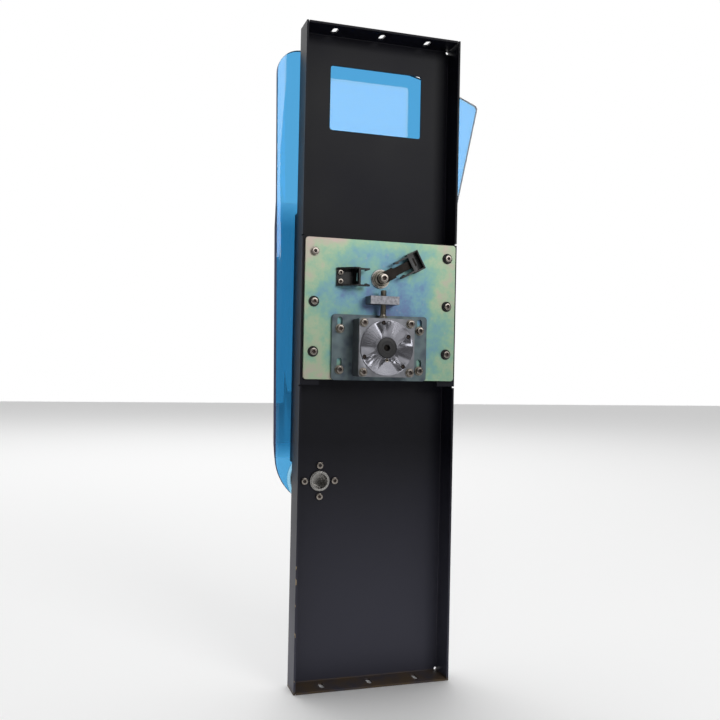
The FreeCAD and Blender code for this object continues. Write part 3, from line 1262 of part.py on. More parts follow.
fill_sheet()
carrier_tray()
drive_plate()
plate_fasteners()
unit_bracket()
bracket_fasteners()
unit_housing()
unit_cover()
unit_inside()
unit_fasteners()
jack()
crank_line()
flag_arm()
arm_clip()
sensor_bracket()
sensor_clip()
pulley("big_pulley", "big_pulley_r", "shaft_r", "crank_z", "big_teeth")
pulley("small_pulley", "small_pulley_r", "unit_shaft_r", "unit_z", "small_teeth")
drive_belt()
front_channel()
bearing_holder()
crank_arm()
wing_pivot()
wing_panel()
wing_doubler()
wing_hub()
check_and_export()
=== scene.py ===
"""Looks of a gate wing unit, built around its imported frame.

Sheet parts, castings and the acrylic wing are copies of the frame's nodes with their edges broken;
screws, washers, bearings, belt, jack and hub are surfaces worked out from formulas; every finish is a
node material on object coordinates.  Lengths are in metres, in the frame's own axes: X to the right
seen from the mechanism side, Y towards the wing, Z up.
"""
import json
import math

import bmesh
import bpy
import numpy as np
from mathutils import Matrix, Vector


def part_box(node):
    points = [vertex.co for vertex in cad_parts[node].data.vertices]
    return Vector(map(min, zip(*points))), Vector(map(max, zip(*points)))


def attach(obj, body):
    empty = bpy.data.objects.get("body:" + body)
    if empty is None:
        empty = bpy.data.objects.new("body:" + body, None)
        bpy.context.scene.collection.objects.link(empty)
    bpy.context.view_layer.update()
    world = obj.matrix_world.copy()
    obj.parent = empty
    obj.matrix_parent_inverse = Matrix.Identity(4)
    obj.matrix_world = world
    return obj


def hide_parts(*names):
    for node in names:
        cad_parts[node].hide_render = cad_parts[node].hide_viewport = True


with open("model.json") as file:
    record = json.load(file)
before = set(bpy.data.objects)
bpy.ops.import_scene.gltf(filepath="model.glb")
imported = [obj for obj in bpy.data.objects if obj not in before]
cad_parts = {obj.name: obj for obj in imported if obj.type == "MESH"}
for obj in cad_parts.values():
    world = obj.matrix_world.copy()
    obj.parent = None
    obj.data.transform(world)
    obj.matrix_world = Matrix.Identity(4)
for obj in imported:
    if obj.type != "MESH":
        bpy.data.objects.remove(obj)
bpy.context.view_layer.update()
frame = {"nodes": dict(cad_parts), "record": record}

MM = 0.001
TURN = 2 * math.pi
# Points nearer than this are one point.
WELD = 0.002 * MM
NODES = frame["nodes"]
RECORD = frame["record"]
BODY_OF = {node: body for body, members in RECORD["behaviour"]["bodies"].items() for node in members}


# Materials.

def linear(code):
    """A colour from its sRGB hex code, turned to linear light."""
    parts = [int(code[start:start + 2], 16) / 255 for start in (1, 3, 5)]
    return tuple(part / 12.92 if part <= 0.04045 else ((part + 0.055) / 1.055) ** 2.4
                 for part in parts) + (1.0,)


def add(tree, kind, links=None, stops=None, **settings):
    """Adds one node: its settings, its ramp's stops, and a socket or a value for each named input."""
    node = tree.nodes.new("ShaderNode" + kind)
    for key, value in settings.items():
        setattr(node, key, value)
    for name, source in (links or {}).items():
        if isinstance(source, bpy.types.NodeSocket):
            tree.links.new(source, node.inputs[name])
        else:
            node.inputs[name].default_value = source
    if stops:
        ramp = node.color_ramp
        while len(ramp.elements) < len(stops):
            ramp.elements.new(0.5)
        for element, (place, code) in zip(ramp.elements, stops):
            element.position = place
            element.color = linear(code)
    return node


def new_material(name, **constants):
    """A material with one Principled shader whose even values are set on its own sockets, and the
    object coordinates that its patterns are drawn on."""
    material = bpy.data.materials.new(name)
    material.use_nodes = True
    tree = material.node_tree
    tree.nodes.clear()
    place = add(tree, "TexCoord").outputs["Object"]
    sockets = {key.replace("_", " "): value for key, value in constants.items()}
    shader = add(tree, "BsdfPrincipled", sockets)
    output = add(tree, "OutputMaterial", {"Surface": shader.outputs["BSDF"]})
    return material, tree, place, shader, output


def per_metre(millimetres):
    """The scale at which a noise or cell pattern repeats about once in this many millimetres."""
    return 1 / (millimetres * MM)


def powder_coat(name, dark, light, gloss):
    """Black polyester powder coat on folded steel: an even orange peel breaks a soft sheen, and
    handling leaves faint greyer clouds."""
    material, tree, place, shader, _ = new_material(name, Specular_IOR_Level=0.18)
    clouds = add(tree, "TexNoise", {"Vector": place, "Scale": per_metre(140), "Detail": 3.0})
    # Real orange peel repeats at 0.6 mm; it is drawn at 1.3 mm, as coarse as it needs to show.
    peel = add(tree, "TexNoise", {"Vector": place, "Scale": per_metre(1.3), "Detail": 1.0})
    tone = add(tree, "ValToRGB", {"Fac": clouds.outputs["Fac"]}, stops=[(0.35, dark), (0.7, light)])
    rough = add(tree, "MapRange", {"Value": clouds.outputs["Fac"], "From Min": 0.3, "From Max": 0.7,
                                   "To Min": gloss - 0.04, "To Max": gloss + 0.06})
    bump = add(tree, "Bump", {"Height": peel.outputs["Fac"], "Strength": 0.12, "Distance": 0.05 * MM})
    tree.links.new(rough.outputs["Result"], shader.inputs["Roughness"])
    tree.links.new(bump.outputs["Normal"], shader.inputs["Normal"])
    return material, tree, place, shader, tone


def tray_coat():
    """The tray's powder coat: chipped to bare metal along the left rim, low down, drawn lighter grey
    towards the bottom as a painted reflection of the bright floor, and with a brown film on the bottom
    flange where dirt settles."""
    material, tree, place, shader, tone = powder_coat("black_powder_coat", "#07070e", "#0e0e19", 0.43)
    low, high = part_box("carrier_tray")
    axis = add(tree, "SeparateXYZ", {"Vector": place})
    # Chips: short upright strokes on the left side's rim, in the lowest fifth of its height.
    rim_depth, side_width, chipped_share = 0.45 * MM, 1.1 * MM, 0.19
    stretched = add(tree, "Mapping", {"Vector": place, "Scale": (1.0, 1.0, 0.35)})
    strokes = add(tree, "TexNoise", {"Vector": stretched.outputs["Vector"], "Scale": per_metre(3.2),
                                     "Detail": 2.0})
    chip = add(tree, "Math", {0: strokes.outputs["Fac"], 1: 0.60}, operation="GREATER_THAN")
    for name, limit in (("Y", low.y + rim_depth), ("X", low.x + side_width), ("Z", high.z * chipped_share)):
        within = add(tree, "Math", {0: axis.outputs[name], 1: limit}, operation="LESS_THAN")
        chip = add(tree, "Math", {0: chip.outputs[0], 1: within.outputs[0]}, operation="MULTIPLY")
    # Dust: a film on the bottom flange's inner face, 2 mm up, worn away in blots.
    blots = add(tree, "TexNoise", {"Vector": place, "Scale": per_metre(26), "Detail": 6.0, "Roughness": 0.6})
    film = add(tree, "MapRange", {"Value": blots.outputs["Fac"], "From Min": 0.36, "From Max": 0.62,
                                  "To Min": 0.15, "To Max": 1.0})
    flange = add(tree, "MapRange", {"Value": axis.outputs["Z"], "From Min": 4.0 * MM, "From Max": 2.2 * MM})
    film = add(tree, "Math", {0: film.outputs["Result"], 1: flange.outputs["Result"]}, operation="MULTIPLY")
    # Painted reflection: the bright floor's sheen on the coat, drawn as a lighter grey over the lowest 240
    # mm and strongest at the bottom.
    rise = add(tree, "MapRange", {"Value": axis.outputs["Z"], "From Min": 0.24, "From Max": 0.03})
    sheen_haze = add(tree, "Mix", {0: rise.outputs["Result"], 6: tone.outputs["Color"], 7: linear("#42424d")},
               data_type="RGBA")
    # The brown dust film goes over the painted reflection of the floor.
    dust_over_sheen = add(tree, "Mix", {0: film.outputs[0], 6: sheen_haze.outputs[2], 7: linear("#5b4c3c")},
                data_type="RGBA")
    worn = add(tree, "Mix", {0: chip.outputs[0], 6: dust_over_sheen.outputs[2], 7: linear("#8f7f68")},
               data_type="RGBA")
    tree.links.new(worn.outputs[2], shader.inputs["Base Color"])
    return material


def channel_coat():
    """The same kind of coat on the front channel, which nothing rubs and no dust reaches."""
    material, tree, _, shader, tone = powder_coat("black_powder_coat_plain", "#09090d", "#0f0f14", 0.43)
    tree.links.new(tone.outputs["Color"], shader.inputs["Base Color"])
    return material


def rainbow_zinc():
    """Zinc plate with a yellow chromate film: the film's thickness drifts over centimetres, so the
    tint runs from straw at the rim through green to blue and violet, with fine crystalline mottling."""
    material, tree, place, shader, _ = new_material("yellow_passivated_zinc", Metallic=0.6, Roughness=0.42)
    low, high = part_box("drive_plate")
    middle = (low + high) / 2
    centred = add(tree, "Mapping", {"Vector": place, "Location": tuple(-middle)})
    warp = add(tree, "TexNoise", {"Vector": place, "Scale": per_metre(38), "Detail": 5.0, "Roughness": 0.6})
    reach = add(tree, "VectorMath", {0: centred.outputs["Vector"]}, operation="LENGTH")
    # Film thickness on a scale of 0 to 1: it grows from the middle to the corners, with the drift
    # and the mottling added.
    spread = add(tree, "MapRange", {"Value": reach.outputs["Value"], "From Max": 95 * MM, "To Min": 0.14,
                                    "To Max": 0.80})
    drift = add(tree, "MapRange", {"Value": warp.outputs["Fac"], "From Min": 0.25, "From Max": 0.75,
                                   "To Min": -0.44, "To Max": 0.44})
    mottle = add(tree, "TexNoise", {"Vector": place, "Scale": per_metre(4.5), "Detail": 5.0,
                                    "Roughness": 0.7})
    grain = add(tree, "MapRange", {"Value": mottle.outputs["Fac"], "From Min": 0.25, "From Max": 0.75,
                                   "To Min": -0.09, "To Max": 0.09})
    film = add(tree, "Math", {0: spread.outputs["Result"], 1: drift.outputs["Result"]}, operation="ADD")
    film = add(tree, "Math", {0: film.outputs[0], 1: grain.outputs["Result"]}, operation="ADD",
               use_clamp=True)
    tint = add(tree, "ValToRGB", {"Fac": film.outputs[0]}, stops=[
        (0.0, "#687098"), (0.14, "#6480a2"), (0.30, "#6c97a8"), (0.46, "#78a39c"), (0.60, "#8aad94"),
        (0.76, "#9fb195"), (0.9, "#aca898"), (1.0, "#b5a49c")])
    # Faint pink specks, about one in every 9 mm.
    specks = add(tree, "TexVoronoi", {"Vector": place, "Scale": per_metre(9)})
    pink = add(tree, "MapRange", {"Value": specks.outputs["Distance"], "From Min": 0.16, "From Max": 0.02,
                                  "To Max": 0.22})
    coloured = add(tree, "Mix", {0: pink.outputs["Result"], 6: tint.outputs["Color"], 7: linear("#c39f98")},
                   data_type="RGBA")
    bump = add(tree, "Bump", {"Height": mottle.outputs["Fac"], "Strength": 0.05, "Distance": 0.05 * MM})
    tree.links.new(coloured.outputs[2], shader.inputs["Base Color"])
    tree.links.new(bump.outputs["Normal"], shader.inputs["Normal"])
    return material


def blue_zinc():
    """Clear blue-passivated zinc on pressed steel: a cold grey with cloudy, leafy crystal patches."""
    material, tree, place, shader, _ = new_material("blue_passivated_zinc", Metallic=0.75)
    leaves = add(tree, "TexVoronoi", {"Vector": place, "Scale": per_metre(7)}, feature="SMOOTH_F1")
    clouds = add(tree, "TexNoise", {"Vector": place, "Scale": per_metre(15), "Detail": 5.0,
                                    "Roughness": 0.65})
    mixed = add(tree, "Math", {0: leaves.outputs["Distance"], 1: clouds.outputs["Fac"]},
                operation="MULTIPLY")
    tone = add(tree, "ValToRGB", {"Fac": mixed.outputs[0]}, stops=[
        (0.05, "#4a535c"), (0.25, "#5e6b6e"), (0.45, "#667479"), (0.6, "#6e7286")])
    rough = add(tree, "MapRange", {"Value": clouds.outputs["Fac"], "To Min": 0.30, "To Max": 0.52})
    tree.links.new(tone.outputs["Color"], shader.inputs["Base Color"])
    tree.links.new(rough.outputs["Result"], shader.inputs["Roughness"])
    return material


def turned_aluminium(name, node, pitch):
    """Aluminium faced on a lathe: fine rings round the piece's own axis spread a highlight into
    radial wedges."""
    material, tree, place, shader, _ = new_material(name, Metallic=1.0, Roughness=0.27, Anisotropic=0.9)
    low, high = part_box(node)
    middle = (low + high) / 2
    centred = add(tree, "Mapping", {"Vector": place, "Location": tuple(-middle)})
    # Real feed marks are about 0.1 mm apart; they are drawn at the pitch given, coarse enough to show.
    # A wave texture runs through 20 radians in each unit of its scaled place.
    scale = per_metre(pitch) * TURN / 20
    rings = add(tree, "TexWave", {"Vector": centred.outputs["Vector"], "Scale": scale,
                                  "Distortion": 0.0}, wave_type="RINGS", rings_direction="Y")
    patches = add(tree, "TexNoise", {"Vector": place, "Scale": per_metre(12), "Detail": 3.0})
    tone = add(tree, "ValToRGB", {"Fac": patches.outputs["Fac"]}, stops=[(0.3, "#8a8a91"), (0.7, "#97979e")])
    bump = add(tree, "Bump", {"Height": rings.outputs["Fac"], "Strength": 0.10, "Distance": 0.02 * MM})
    # The highlight spreads across the rings, so the tangent points away from the axis.
    outward = add(tree, "VectorMath", {0: centred.outputs["Vector"], 1: (1.0, 0.0, 1.0)},
                  operation="MULTIPLY")
    spread = add(tree, "VectorTransform", {"Vector": outward.outputs["Vector"]}, vector_type="VECTOR",
                 convert_from="OBJECT", convert_to="WORLD")
    tree.links.new(spread.outputs["Vector"], shader.inputs["Tangent"])
    tree.links.new(tone.outputs["Color"], shader.inputs["Base Color"])
    tree.links.new(bump.outputs["Normal"], shader.inputs["Normal"])
    return material


def metal(name, dark, light, gloss, grain=1.0, stretch=(1.0, 1.0, 1.0), depth=0.08, cloud=9.0):
    """A bare or plated metal: cloudy tone, and a fine grain that can be stretched into tool marks.
    Real grain is near 0.1 mm; the grain given, about 1 mm, is as coarse as it needs to show."""
    material, tree, place, shader, _ = new_material(name, Metallic=1.0)
    clouds = add(tree, "TexNoise", {"Vector": place, "Scale": per_metre(cloud), "Detail": 4.0})
    tone = add(tree, "ValToRGB", {"Fac": clouds.outputs["Fac"]}, stops=[(0.3, dark), (0.7, light)])
    marks = add(tree, "Mapping", {"Vector": place, "Scale": stretch})
    fine = add(tree, "TexNoise", {"Vector": marks.outputs["Vector"], "Scale": per_metre(grain),
                                  "Detail": 3.0})
    rough = add(tree, "MapRange", {"Value": fine.outputs["Fac"], "From Min": 0.25, "From Max": 0.75,
                                   "To Min": gloss - 0.06, "To Max": gloss + 0.08})
    bump = add(tree, "Bump", {"Height": fine.outputs["Fac"], "Strength": depth, "Distance": 0.1 * MM})
    tree.links.new(tone.outputs["Color"], shader.inputs["Base Color"])
    tree.links.new(rough.outputs["Result"], shader.inputs["Roughness"])
    tree.links.new(bump.outputs["Normal"], shader.inputs["Normal"])
    return material


def moulded(name, dark, light, gloss, grain, depth=0.10, **constants):
    """A moulded or coated surface: an even grain and a faint unevenness of tone.  A mould's grain is
    near 0.1 mm; the grain given, about 1 mm, is as coarse as it needs to show."""
    material, tree, place, shader, _ = new_material(name, **constants)
    clouds = add(tree, "TexNoise", {"Vector": place, "Scale": per_metre(18), "Detail": 2.0})
    tone = add(tree, "ValToRGB", {"Fac": clouds.outputs["Fac"]}, stops=[(0.3, dark), (0.7, light)])
    fine = add(tree, "TexNoise", {"Vector": place, "Scale": per_metre(grain), "Detail": 2.0})
    rough = add(tree, "MapRange", {"Value": fine.outputs["Fac"], "To Min": gloss - 0.08,
                                   "To Max": gloss + 0.08})
    bump = add(tree, "Bump", {"Height": fine.outputs["Fac"], "Strength": depth, "Distance": 0.1 * MM})
    tree.links.new(tone.outputs["Color"], shader.inputs["Base Color"])
    tree.links.new(rough.outputs["Result"], shader.inputs["Roughness"])
    tree.links.new(bump.outputs["Normal"], shader.inputs["Normal"])
    return material


def blue_acrylic(name, colour):
    """Clear blue cast acrylic: the dye is in the sheet, so one thickness is sky blue and two are
    deeper.  Each metre absorbs one less the colour, times the density."""
    material, tree, place, shader, output = new_material(
        name, Base_Color=linear("#ffffff"), Transmission_Weight=1.0, IOR=1.49)
    dye = add(tree, "VolumeAbsorption", {"Color": colour + (1.0,), "Density": 400.0})
    # The polish is a little uneven.
    sheen_haze = add(tree, "TexNoise", {"Vector": place, "Scale": per_metre(60), "Detail": 3.0})
    rough = add(tree, "MapRange", {"Value": sheen_haze.outputs["Fac"], "From Min": 0.3, "From Max": 0.7,
                                   "To Min": 0.015, "To Max": 0.05})
    tree.links.new(rough.outputs["Result"], shader.inputs["Roughness"])
    tree.links.new(dye.outputs["Volume"], output.inputs["Volume"])
    return material


FINISH = {
    "tray": tray_coat(),
    "channel": channel_coat(),
    "rainbow": rainbow_zinc(),
    "blue_zinc": blue_zinc(),
    "turned": turned_aluminium("lathe_turned_aluminium", "unit_cover", pitch=1.58),
    # Milled aluminium alloy: straight feed marks along X on a satin grey face.
    "milled": metal("milled_aluminium", "#8d8f93", "#a3a5a8", 0.36, grain=1.1, stretch=(0.15, 1, 1)),
    # The unit's cast body, brushed: darker than the faced cover.
    "housing": metal("brushed_cast_aluminium", "#6b6c70", "#808186", 0.38, grain=1.0,
                     stretch=(1, 0.2, 1)),
    # Sawn bar left rough: pitted and grainy.
    "sawn": metal("sawn_aluminium_bar", "#6b6b70", "#96969b", 0.42, grain=1.6, depth=0.5, cloud=2.2),
    # Bright nickel on steel screws, slightly warm.
    "nickel": metal("bright_nickel_plate", "#7b746d", "#98918a", 0.22, grain=1.5, depth=0.03),
    # Bearing and shaft steel, ground.
    "ground": metal("ground_bearing_steel", "#8f8d8a", "#aaa8a5", 0.26, grain=0.9,
                    stretch=(1, 0.2, 1), depth=0.02),
    # Spacer and washers: zinc over steel, warm grey.
    "spacer": metal("dull_zinc_on_steel", "#7d786f", "#948f84", 0.34, grain=1.2),
    # Sintered bronze, porous and oily.
    "bronze": metal("sintered_bronze", "#6f5436", "#8f7048", 0.42, grain=0.8, depth=0.2),
    # Enamelled copper wire, wound round the bore.
    "copper": metal("enamelled_copper_wire", "#8a4a22", "#b56a35", 0.35, grain=1.0,
                    stretch=(0.2, 1, 0.2)),
    # Nickel-plated magnet ring.
    "magnet": metal("plated_magnet_ring", "#77777a", "#8d8d90", 0.30, grain=1.4),
    # Chemical black on steel: a dark bronze cast where it is thin.
    "black_oxide": metal("black_oxide_on_steel", "#1c1a18", "#2b2826", 0.42, grain=1.3, depth=0.1),
    # Black nylon, moulded with a light grain and a semi-gloss skin.
    "black_nylon": moulded("black_moulded_nylon", "#070708", "#0e0e0f", 0.24, 1.0,
                           Specular_IOR_Level=0.35),
    # Pressed sheet stoved black.
    "black_enamel": moulded("black_stoving_enamel", "#070708", "#0d0d0e", 0.24, 1.4, depth=0.05,
                            Specular_IOR_Level=0.35),
    # Blackened hub, cast and left matt.
    "hub": moulded("blackened_cast_hub", "#0f0f11", "#1b1b1e", 0.45, 1.1, depth=0.35),
    # Undyed nylon: cream white, with a waxy sheen.
    "nylon": moulded("natural_nylon", "#cfc8b6", "#ddd7c8", 0.42, 1.2),
    # Moulded rubber, dull and a little grainy.
    "rubber": moulded("black_rubber", "#111112", "#1a1a1b", 0.62, 1.0, depth=0.2),
    # Screw sockets: painted shade, the recess drawn near black, tinted brown by the oil and dirt that gather
    # there.
    "socket": moulded("oiled_socket_painted_shade", "#1d120b", "#41240f", 0.5, 0.8),
    # 6 mm of the wing's sheet lets 10, 42 and 76 hundredths of red, green and blue through.
    "acrylic": blue_acrylic("blue_cast_acrylic", (0.04, 0.64, 0.886)),
    # The doubler's sheet is greyer: 24, 45 and 53 hundredths.
    "doubler": blue_acrylic("smoked_blue_acrylic", (0.405, 0.667, 0.735)),
    # Sawn and polished edges: painted navy on an opaque finish, standing in for the dark colour that light
    # running along inside the sheet gives them.
    "acrylic_edge_painted_navy": moulded("acrylic_edge_painted_navy", "#10163a", "#1b2350", 0.6, 1.6, depth=0.05,
                            Specular_IOR_Level=0.1),
}


# Pieces.

def claim(piece, finishes, *nodes):
    """Gives a piece its finishes and the body of the nodes it stands for, and hides those nodes."""
    for finish in finishes:
        piece.data.materials.append(FINISH[finish])
    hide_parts(*nodes)
    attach(piece, BODY_OF[nodes[0]])
    return piece


def new_piece(name, mesh):
    """A mesh as an object at the origin, linked into the scene."""
    piece = bpy.data.objects.new(name, mesh)
    bpy.context.scene.collection.objects.link(piece)
    return piece


def close_and_orient(mesh):
    """Merges the points that poles and seams share, and turns the faces outwards."""
    work = bmesh.new()
    work.from_mesh(mesh)
    bmesh.ops.remove_doubles(work, verts=work.verts, dist=WELD)
    bmesh.ops.recalc_face_normals(work, faces=work.faces)
    if work.calc_volume(signed=True) < 0:
        bmesh.ops.reverse_faces(work, faces=work.faces)
    work.to_mesh(mesh)
    work.free()


def grid_mesh(name, grids, corner=30.0, second=0):
    """One mesh from several grids of points, each rows x columns x 3, closed from the last column
    to the first; each four neighbouring points make a face.  Faces of the first rows, as many as
    second says, take the second material."""
    points, faces, slots, start = [], [], [], 0
    for grid in grids:
        rows, columns = grid.shape[:2]
        index = start + np.arange(rows * columns).reshape(rows, columns)
        following = np.roll(index, -1, axis=1)
        quads = np.stack([index[:-1], following[:-1], following[1:], index[1:]], axis=-1)
        points.append(grid.reshape(-1, 3))
        faces.append(quads.reshape(-1, 4))
        slots.append(np.repeat((np.arange(rows - 1) < second).astype(int), columns))
        start += rows * columns
    mesh = bpy.data.meshes.new(name)
    mesh.from_pydata(np.concatenate(points), [], np.concatenate(faces).tolist())
    mesh.polygons.foreach_set("material_index", np.concatenate(slots))
    close_and_orient(mesh)
    smooth(mesh, corner)
    return mesh


def smooth(mesh, corner=30.0):
    """Shades the mesh smooth and keeps the edges that turn by more than the corner angle sharp."""
    mesh.polygons.foreach_set("use_smooth", np.ones(len(mesh.polygons), dtype=bool))
    mesh.set_sharp_from_angle(angle=math.radians(corner))


def broken_edges(node, finish, width, rim=None):
    """A copy of a frame node with its loose triangles joined, its flat faces cleared and each sharp
    edge rounded by the width, as a deburred edge is; with no width it is only joined.  A rim finish
    goes on the faces at a sheet's edges, which don't face along Y."""
    # Degrees: an edge is sharp past the first angle, and faces are one flat face under the second.
    sharp, flat = 32.0, 0.3
    mesh = NODES[node].data.copy()
    mesh.name = node
    mesh.materials.clear()
    work = bmesh.new()
    work.from_mesh(mesh)
    bmesh.ops.remove_doubles(work, verts=work.verts, dist=WELD)
    if width:
        bmesh.ops.dissolve_limit(work, angle_limit=math.radians(flat), verts=work.verts, edges=work.edges)
    work.to_mesh(mesh)
    work.free()
    finishes = [finish]
    slots = np.zeros(len(mesh.polygons), dtype=int)
    if rim is not None:
        finishes.append(rim)
        normals = np.empty(3 * len(mesh.polygons))
        mesh.polygons.foreach_get("normal", normals)
        slots[np.abs(normals[1::3]) < 0.5] = 1
    mesh.polygons.foreach_set("material_index", slots)
    piece = claim(new_piece(node + "_finished", mesh), finishes, node)
    smooth(mesh, sharp)
    if width:
        edge = piece.modifiers.new("broken_edge", "BEVEL")
        edge.width = width
        edge.segments = 2
        edge.limit_method = "ANGLE"
        edge.angle_limit = math.radians(sharp)
        edge.harden_normals = True
        edge.use_clamp_overlap = True


def solids_of(node):
    """The lowest and highest corners of each separate solid in a node.  Triangles that share a point
    belong together: each point takes the lowest label among its triangles' points, and that label's
    own label, until no label changes."""
    mesh = NODES[node].data
    places = np.empty(3 * len(mesh.vertices))
    mesh.vertices.foreach_get("co", places)
    corners = np.empty(3 * len(mesh.polygons), dtype=np.int32)
    mesh.polygons.foreach_get("vertices", corners)
    points, same = np.unique(places.reshape(-1, 3), axis=0, return_inverse=True)
    triangles = same.reshape(-1)[corners].reshape(-1, 3)
    labels, before = np.arange(len(points)), None
    while before is None or (labels != before).any():
        before = labels
        labels = before.copy()
        np.minimum.at(labels, triangles, before[triangles].min(axis=1)[:, None])
        labels = labels[labels]
    groups = [points[labels == label] for label in np.unique(labels)]
    boxes = [(group.min(axis=0), group.max(axis=0)) for group in groups]
    return sorted(boxes, key=lambda box: tuple(box[0]))


def middle_of(low, high):
    """The point half way between two corners."""
    return (np.array(low) + np.array(high)) / 2


def turned_grid(profile, centre, segments=64, facing=1.0, shape=None):
    """A profile of (radius, depth) carried round an axis along Y: each point of the grid is the
    centre plus the radius at that angle, with the depth along Y times facing.  A shape function
    changes the radius by row and angle."""
    profile = np.array(profile, dtype=float)
    angle = np.linspace(0, TURN, segments, endpoint=False)
    radius = np.repeat(profile[:, :1], segments, axis=1)
    if shape is not None:
        radius = shape(radius, angle)
    depth = np.repeat(profile[:, 1:], segments, axis=1)
    return np.stack([centre[0] + radius * np.cos(angle), centre[1] + facing * depth,
                     centre[2] + radius * np.sin(angle)], axis=-1)


def hexagon(flat, angle):
    """Distance from the middle to a hexagon's side at an angle, with a corner at angle zero: the
    flat's distance over the cosine of the angle from the middle of that flat."""
    return flat / np.cos(np.mod(angle, TURN / 6) - TURN / 12)


# Cap screws by thread: head radius and height, shank radius, and half the socket's width, in mm.
HEADS = {"m2": (2.0, 1.4, 0.75, 1.0), "m3": (2.75, 2.2, 1.5, 1.25), "m3_low": (2.6, 1.8, 1.5, 1.0),
         "m4": (3.5, 2.6, 2.0, 1.5), "m5": (4.25, 3.4, 2.5, 2.0), "m5_low": (6.75, 2.0, 2.5, 1.2)}
# A screw's first rows of faces are its socket, and these points of its profile stand on a hexagon.
SOCKET_ROWS = 4
HEXAGON_POINTS = slice(2, 5)


def screw_grid(low, high, facing, head, knurls):
    """A cap screw between a solid's two corners: a dished socket floor, a hexagon socket, a rounded
    head whose side may be knurled (its radius waves with the angle), a shank and a chamfered end."""
    head_radius, head_high, shank, socket = (size * MM for size in HEADS[head])
    centre = middle_of(low, high)
    centre[1] = low[1] if facing > 0 else high[1]
    length = high[1] - low[1]
    # The socket's depth and the head's rounded edge, as shares of the head's height.
    sink, edge = 0.62 * head_high, 0.22 * head_high
    profile = [(0.0, 1.25 * sink), (0.5 * socket, 1.12 * sink), (socket, sink), (socket, 0.06 * head_high),
               (1.08 * socket, 0.0)]
    for angle in np.linspace(0, math.pi / 2, 5):
        profile.append((head_radius - edge * (1 - math.sin(angle)), edge * (1 - math.cos(angle))))
    side = len(profile)
    profile += [(head_radius, 1.15 * edge), (head_radius, 0.93 * head_high), (0.97 * head_radius, head_high),
                (shank, head_high), (shank, length - 0.4 * shank), (0.7 * shank, length), (0.0, length)]

    def outline(radius, angle):
        bent = radius.copy()
        bent[HEXAGON_POINTS] = hexagon(radius[HEXAGON_POINTS], angle)
        if knurls:
            bent[side:side + 2] *= 1 - 0.02 * (1 + np.cos(knurls * angle))
        return bent

    return turned_grid(profile, centre, 96 if knurls else 48, facing, outline)


def screws(node, head, facing=1.0, knurls=0, finish="nickel"):
    """All screws of one node as one piece."""
    grids = [screw_grid(low, high, facing, head, knurls) for low, high in solids_of(node)]
    mesh = grid_mesh(node, grids, second=SOCKET_ROWS)
    return claim(new_piece(node + "_finished", mesh), [finish, "socket"], node)


def ring_grid(centre, outer, inner, thick, edge=0.12 * MM):
    """A flat ring behind a centre point on its front face, with its four edges broken."""
    profile = [(inner, edge), (inner + edge, 0), (outer - edge, 0), (outer, edge), (outer, thick - edge),
               (outer - edge, thick), (inner + edge, thick), (inner, thick - edge), (inner, edge)]
    return turned_grid(profile, centre, 48)


def coil_grid(centre, outer, inner, thick):
    """A spring washer: a square section carried round just under one turn while its depth climbs by a
    share of its thickness, the lift.  Rows run along the coil and columns round the section, and the
    first and last rows shrink to points, which closes the ends."""
    lift, cut = 0.3, 5
    angle = np.concatenate([[cut], np.linspace(cut, 360 - cut, 48), [360 - cut]])
    angle = np.radians(angle)[:, None]
    half = thick * (1 - lift) / 2
    radius = np.array([[inner, outer, outer, inner]]) * np.ones_like(angle)
    depth = np.array([[-half, -half, half, half]]) + (angle / TURN - 0.5) * lift * thick + thick / 2
    for end in (0, -1):
        radius[end] = radius[end].mean()
        depth[end] = depth[end].mean()
    return np.stack([centre[0] + radius * np.cos(angle), centre[1] + depth,
                     centre[2] + radius * np.sin(angle)], axis=-1)


def washer_pairs(node, outer, head_radius, hole):
    """A flat washer against the work and, where the solid is thick enough, a spring washer under the
    head, for each solid of a node."""
    flat, spring = 0.8 * MM, 1.0 * MM
    grids = []
    for low, high in solids_of(node):
        centre = middle_of(low, high)
        centre[1] = high[1] - flat
        grids.append(ring_grid(centre, outer * MM, hole * MM, flat))
        if high[1] - low[1] > 1.5 * flat:
            centre = np.array([centre[0], high[1] - flat - spring, centre[2]])
            grids.append(coil_grid(centre, head_radius * MM, hole * MM, spring))
    return claim(new_piece(node + "_finished", grid_mesh(node, grids)), ["spacer"], node)


def rings(node, finish, hole, edge=0.12 * MM):
    """Plain rings, each as wide and as thick as its solid, as one piece."""
    grids = []
    for low, high in solids_of(node):
        centre = middle_of(low, high)
        outer, thick = (high[0] - low[0]) / 2, high[1] - low[1]
        centre[1] = low[1]
        grids.append(ring_grid(centre, outer, hole * MM, thick, edge))
    return claim(new_piece(node + "_finished", grid_mesh(node, grids)), [finish], node)


def nut_grid(low, high, hole):
    """A hexagon nut: the hexagon's radius, cut at both faces by a cone of thirty degrees."""
    centre, thick, flat = middle_of(low, high), high[1] - low[1], (high[2] - low[2]) / 2
    centre[1] = low[1]
    slope = math.tan(math.radians(30))
    reach = (flat / math.cos(math.radians(30)) - flat) * slope
    cone = [(flat + step * reach / slope, step * reach) for step in (0, 0.35, 0.7, 1.0)]
    chamfer = 0.3 * MM
    profile = [(hole, chamfer), (hole + chamfer, 0)] + cone
    profile += [(radius, thick - depth) for radius, depth in reversed(cone)]
    profile += [(hole + chamfer, thick), (hole, thick - chamfer), (hole, chamfer)]
    cones = slice(2, 2 + 2 * len(cone))

    def outline(radius, angle):
        bent = radius.copy()
        bent[cones] = np.minimum(radius[cones], hexagon(flat, angle))
        return bent

    return turned_grid(profile, centre, 72, shape=outline)


def nuts(node):
    """All nuts of one node as one piece; the thread's radius is a share of the width across flats."""
    share = 0.285
    grids = [nut_grid(low, high, share * (high[2] - low[2])) for low, high in solids_of(node)]
    return claim(new_piece(node + "_finished", grid_mesh(node, grids)), ["nickel"], node)


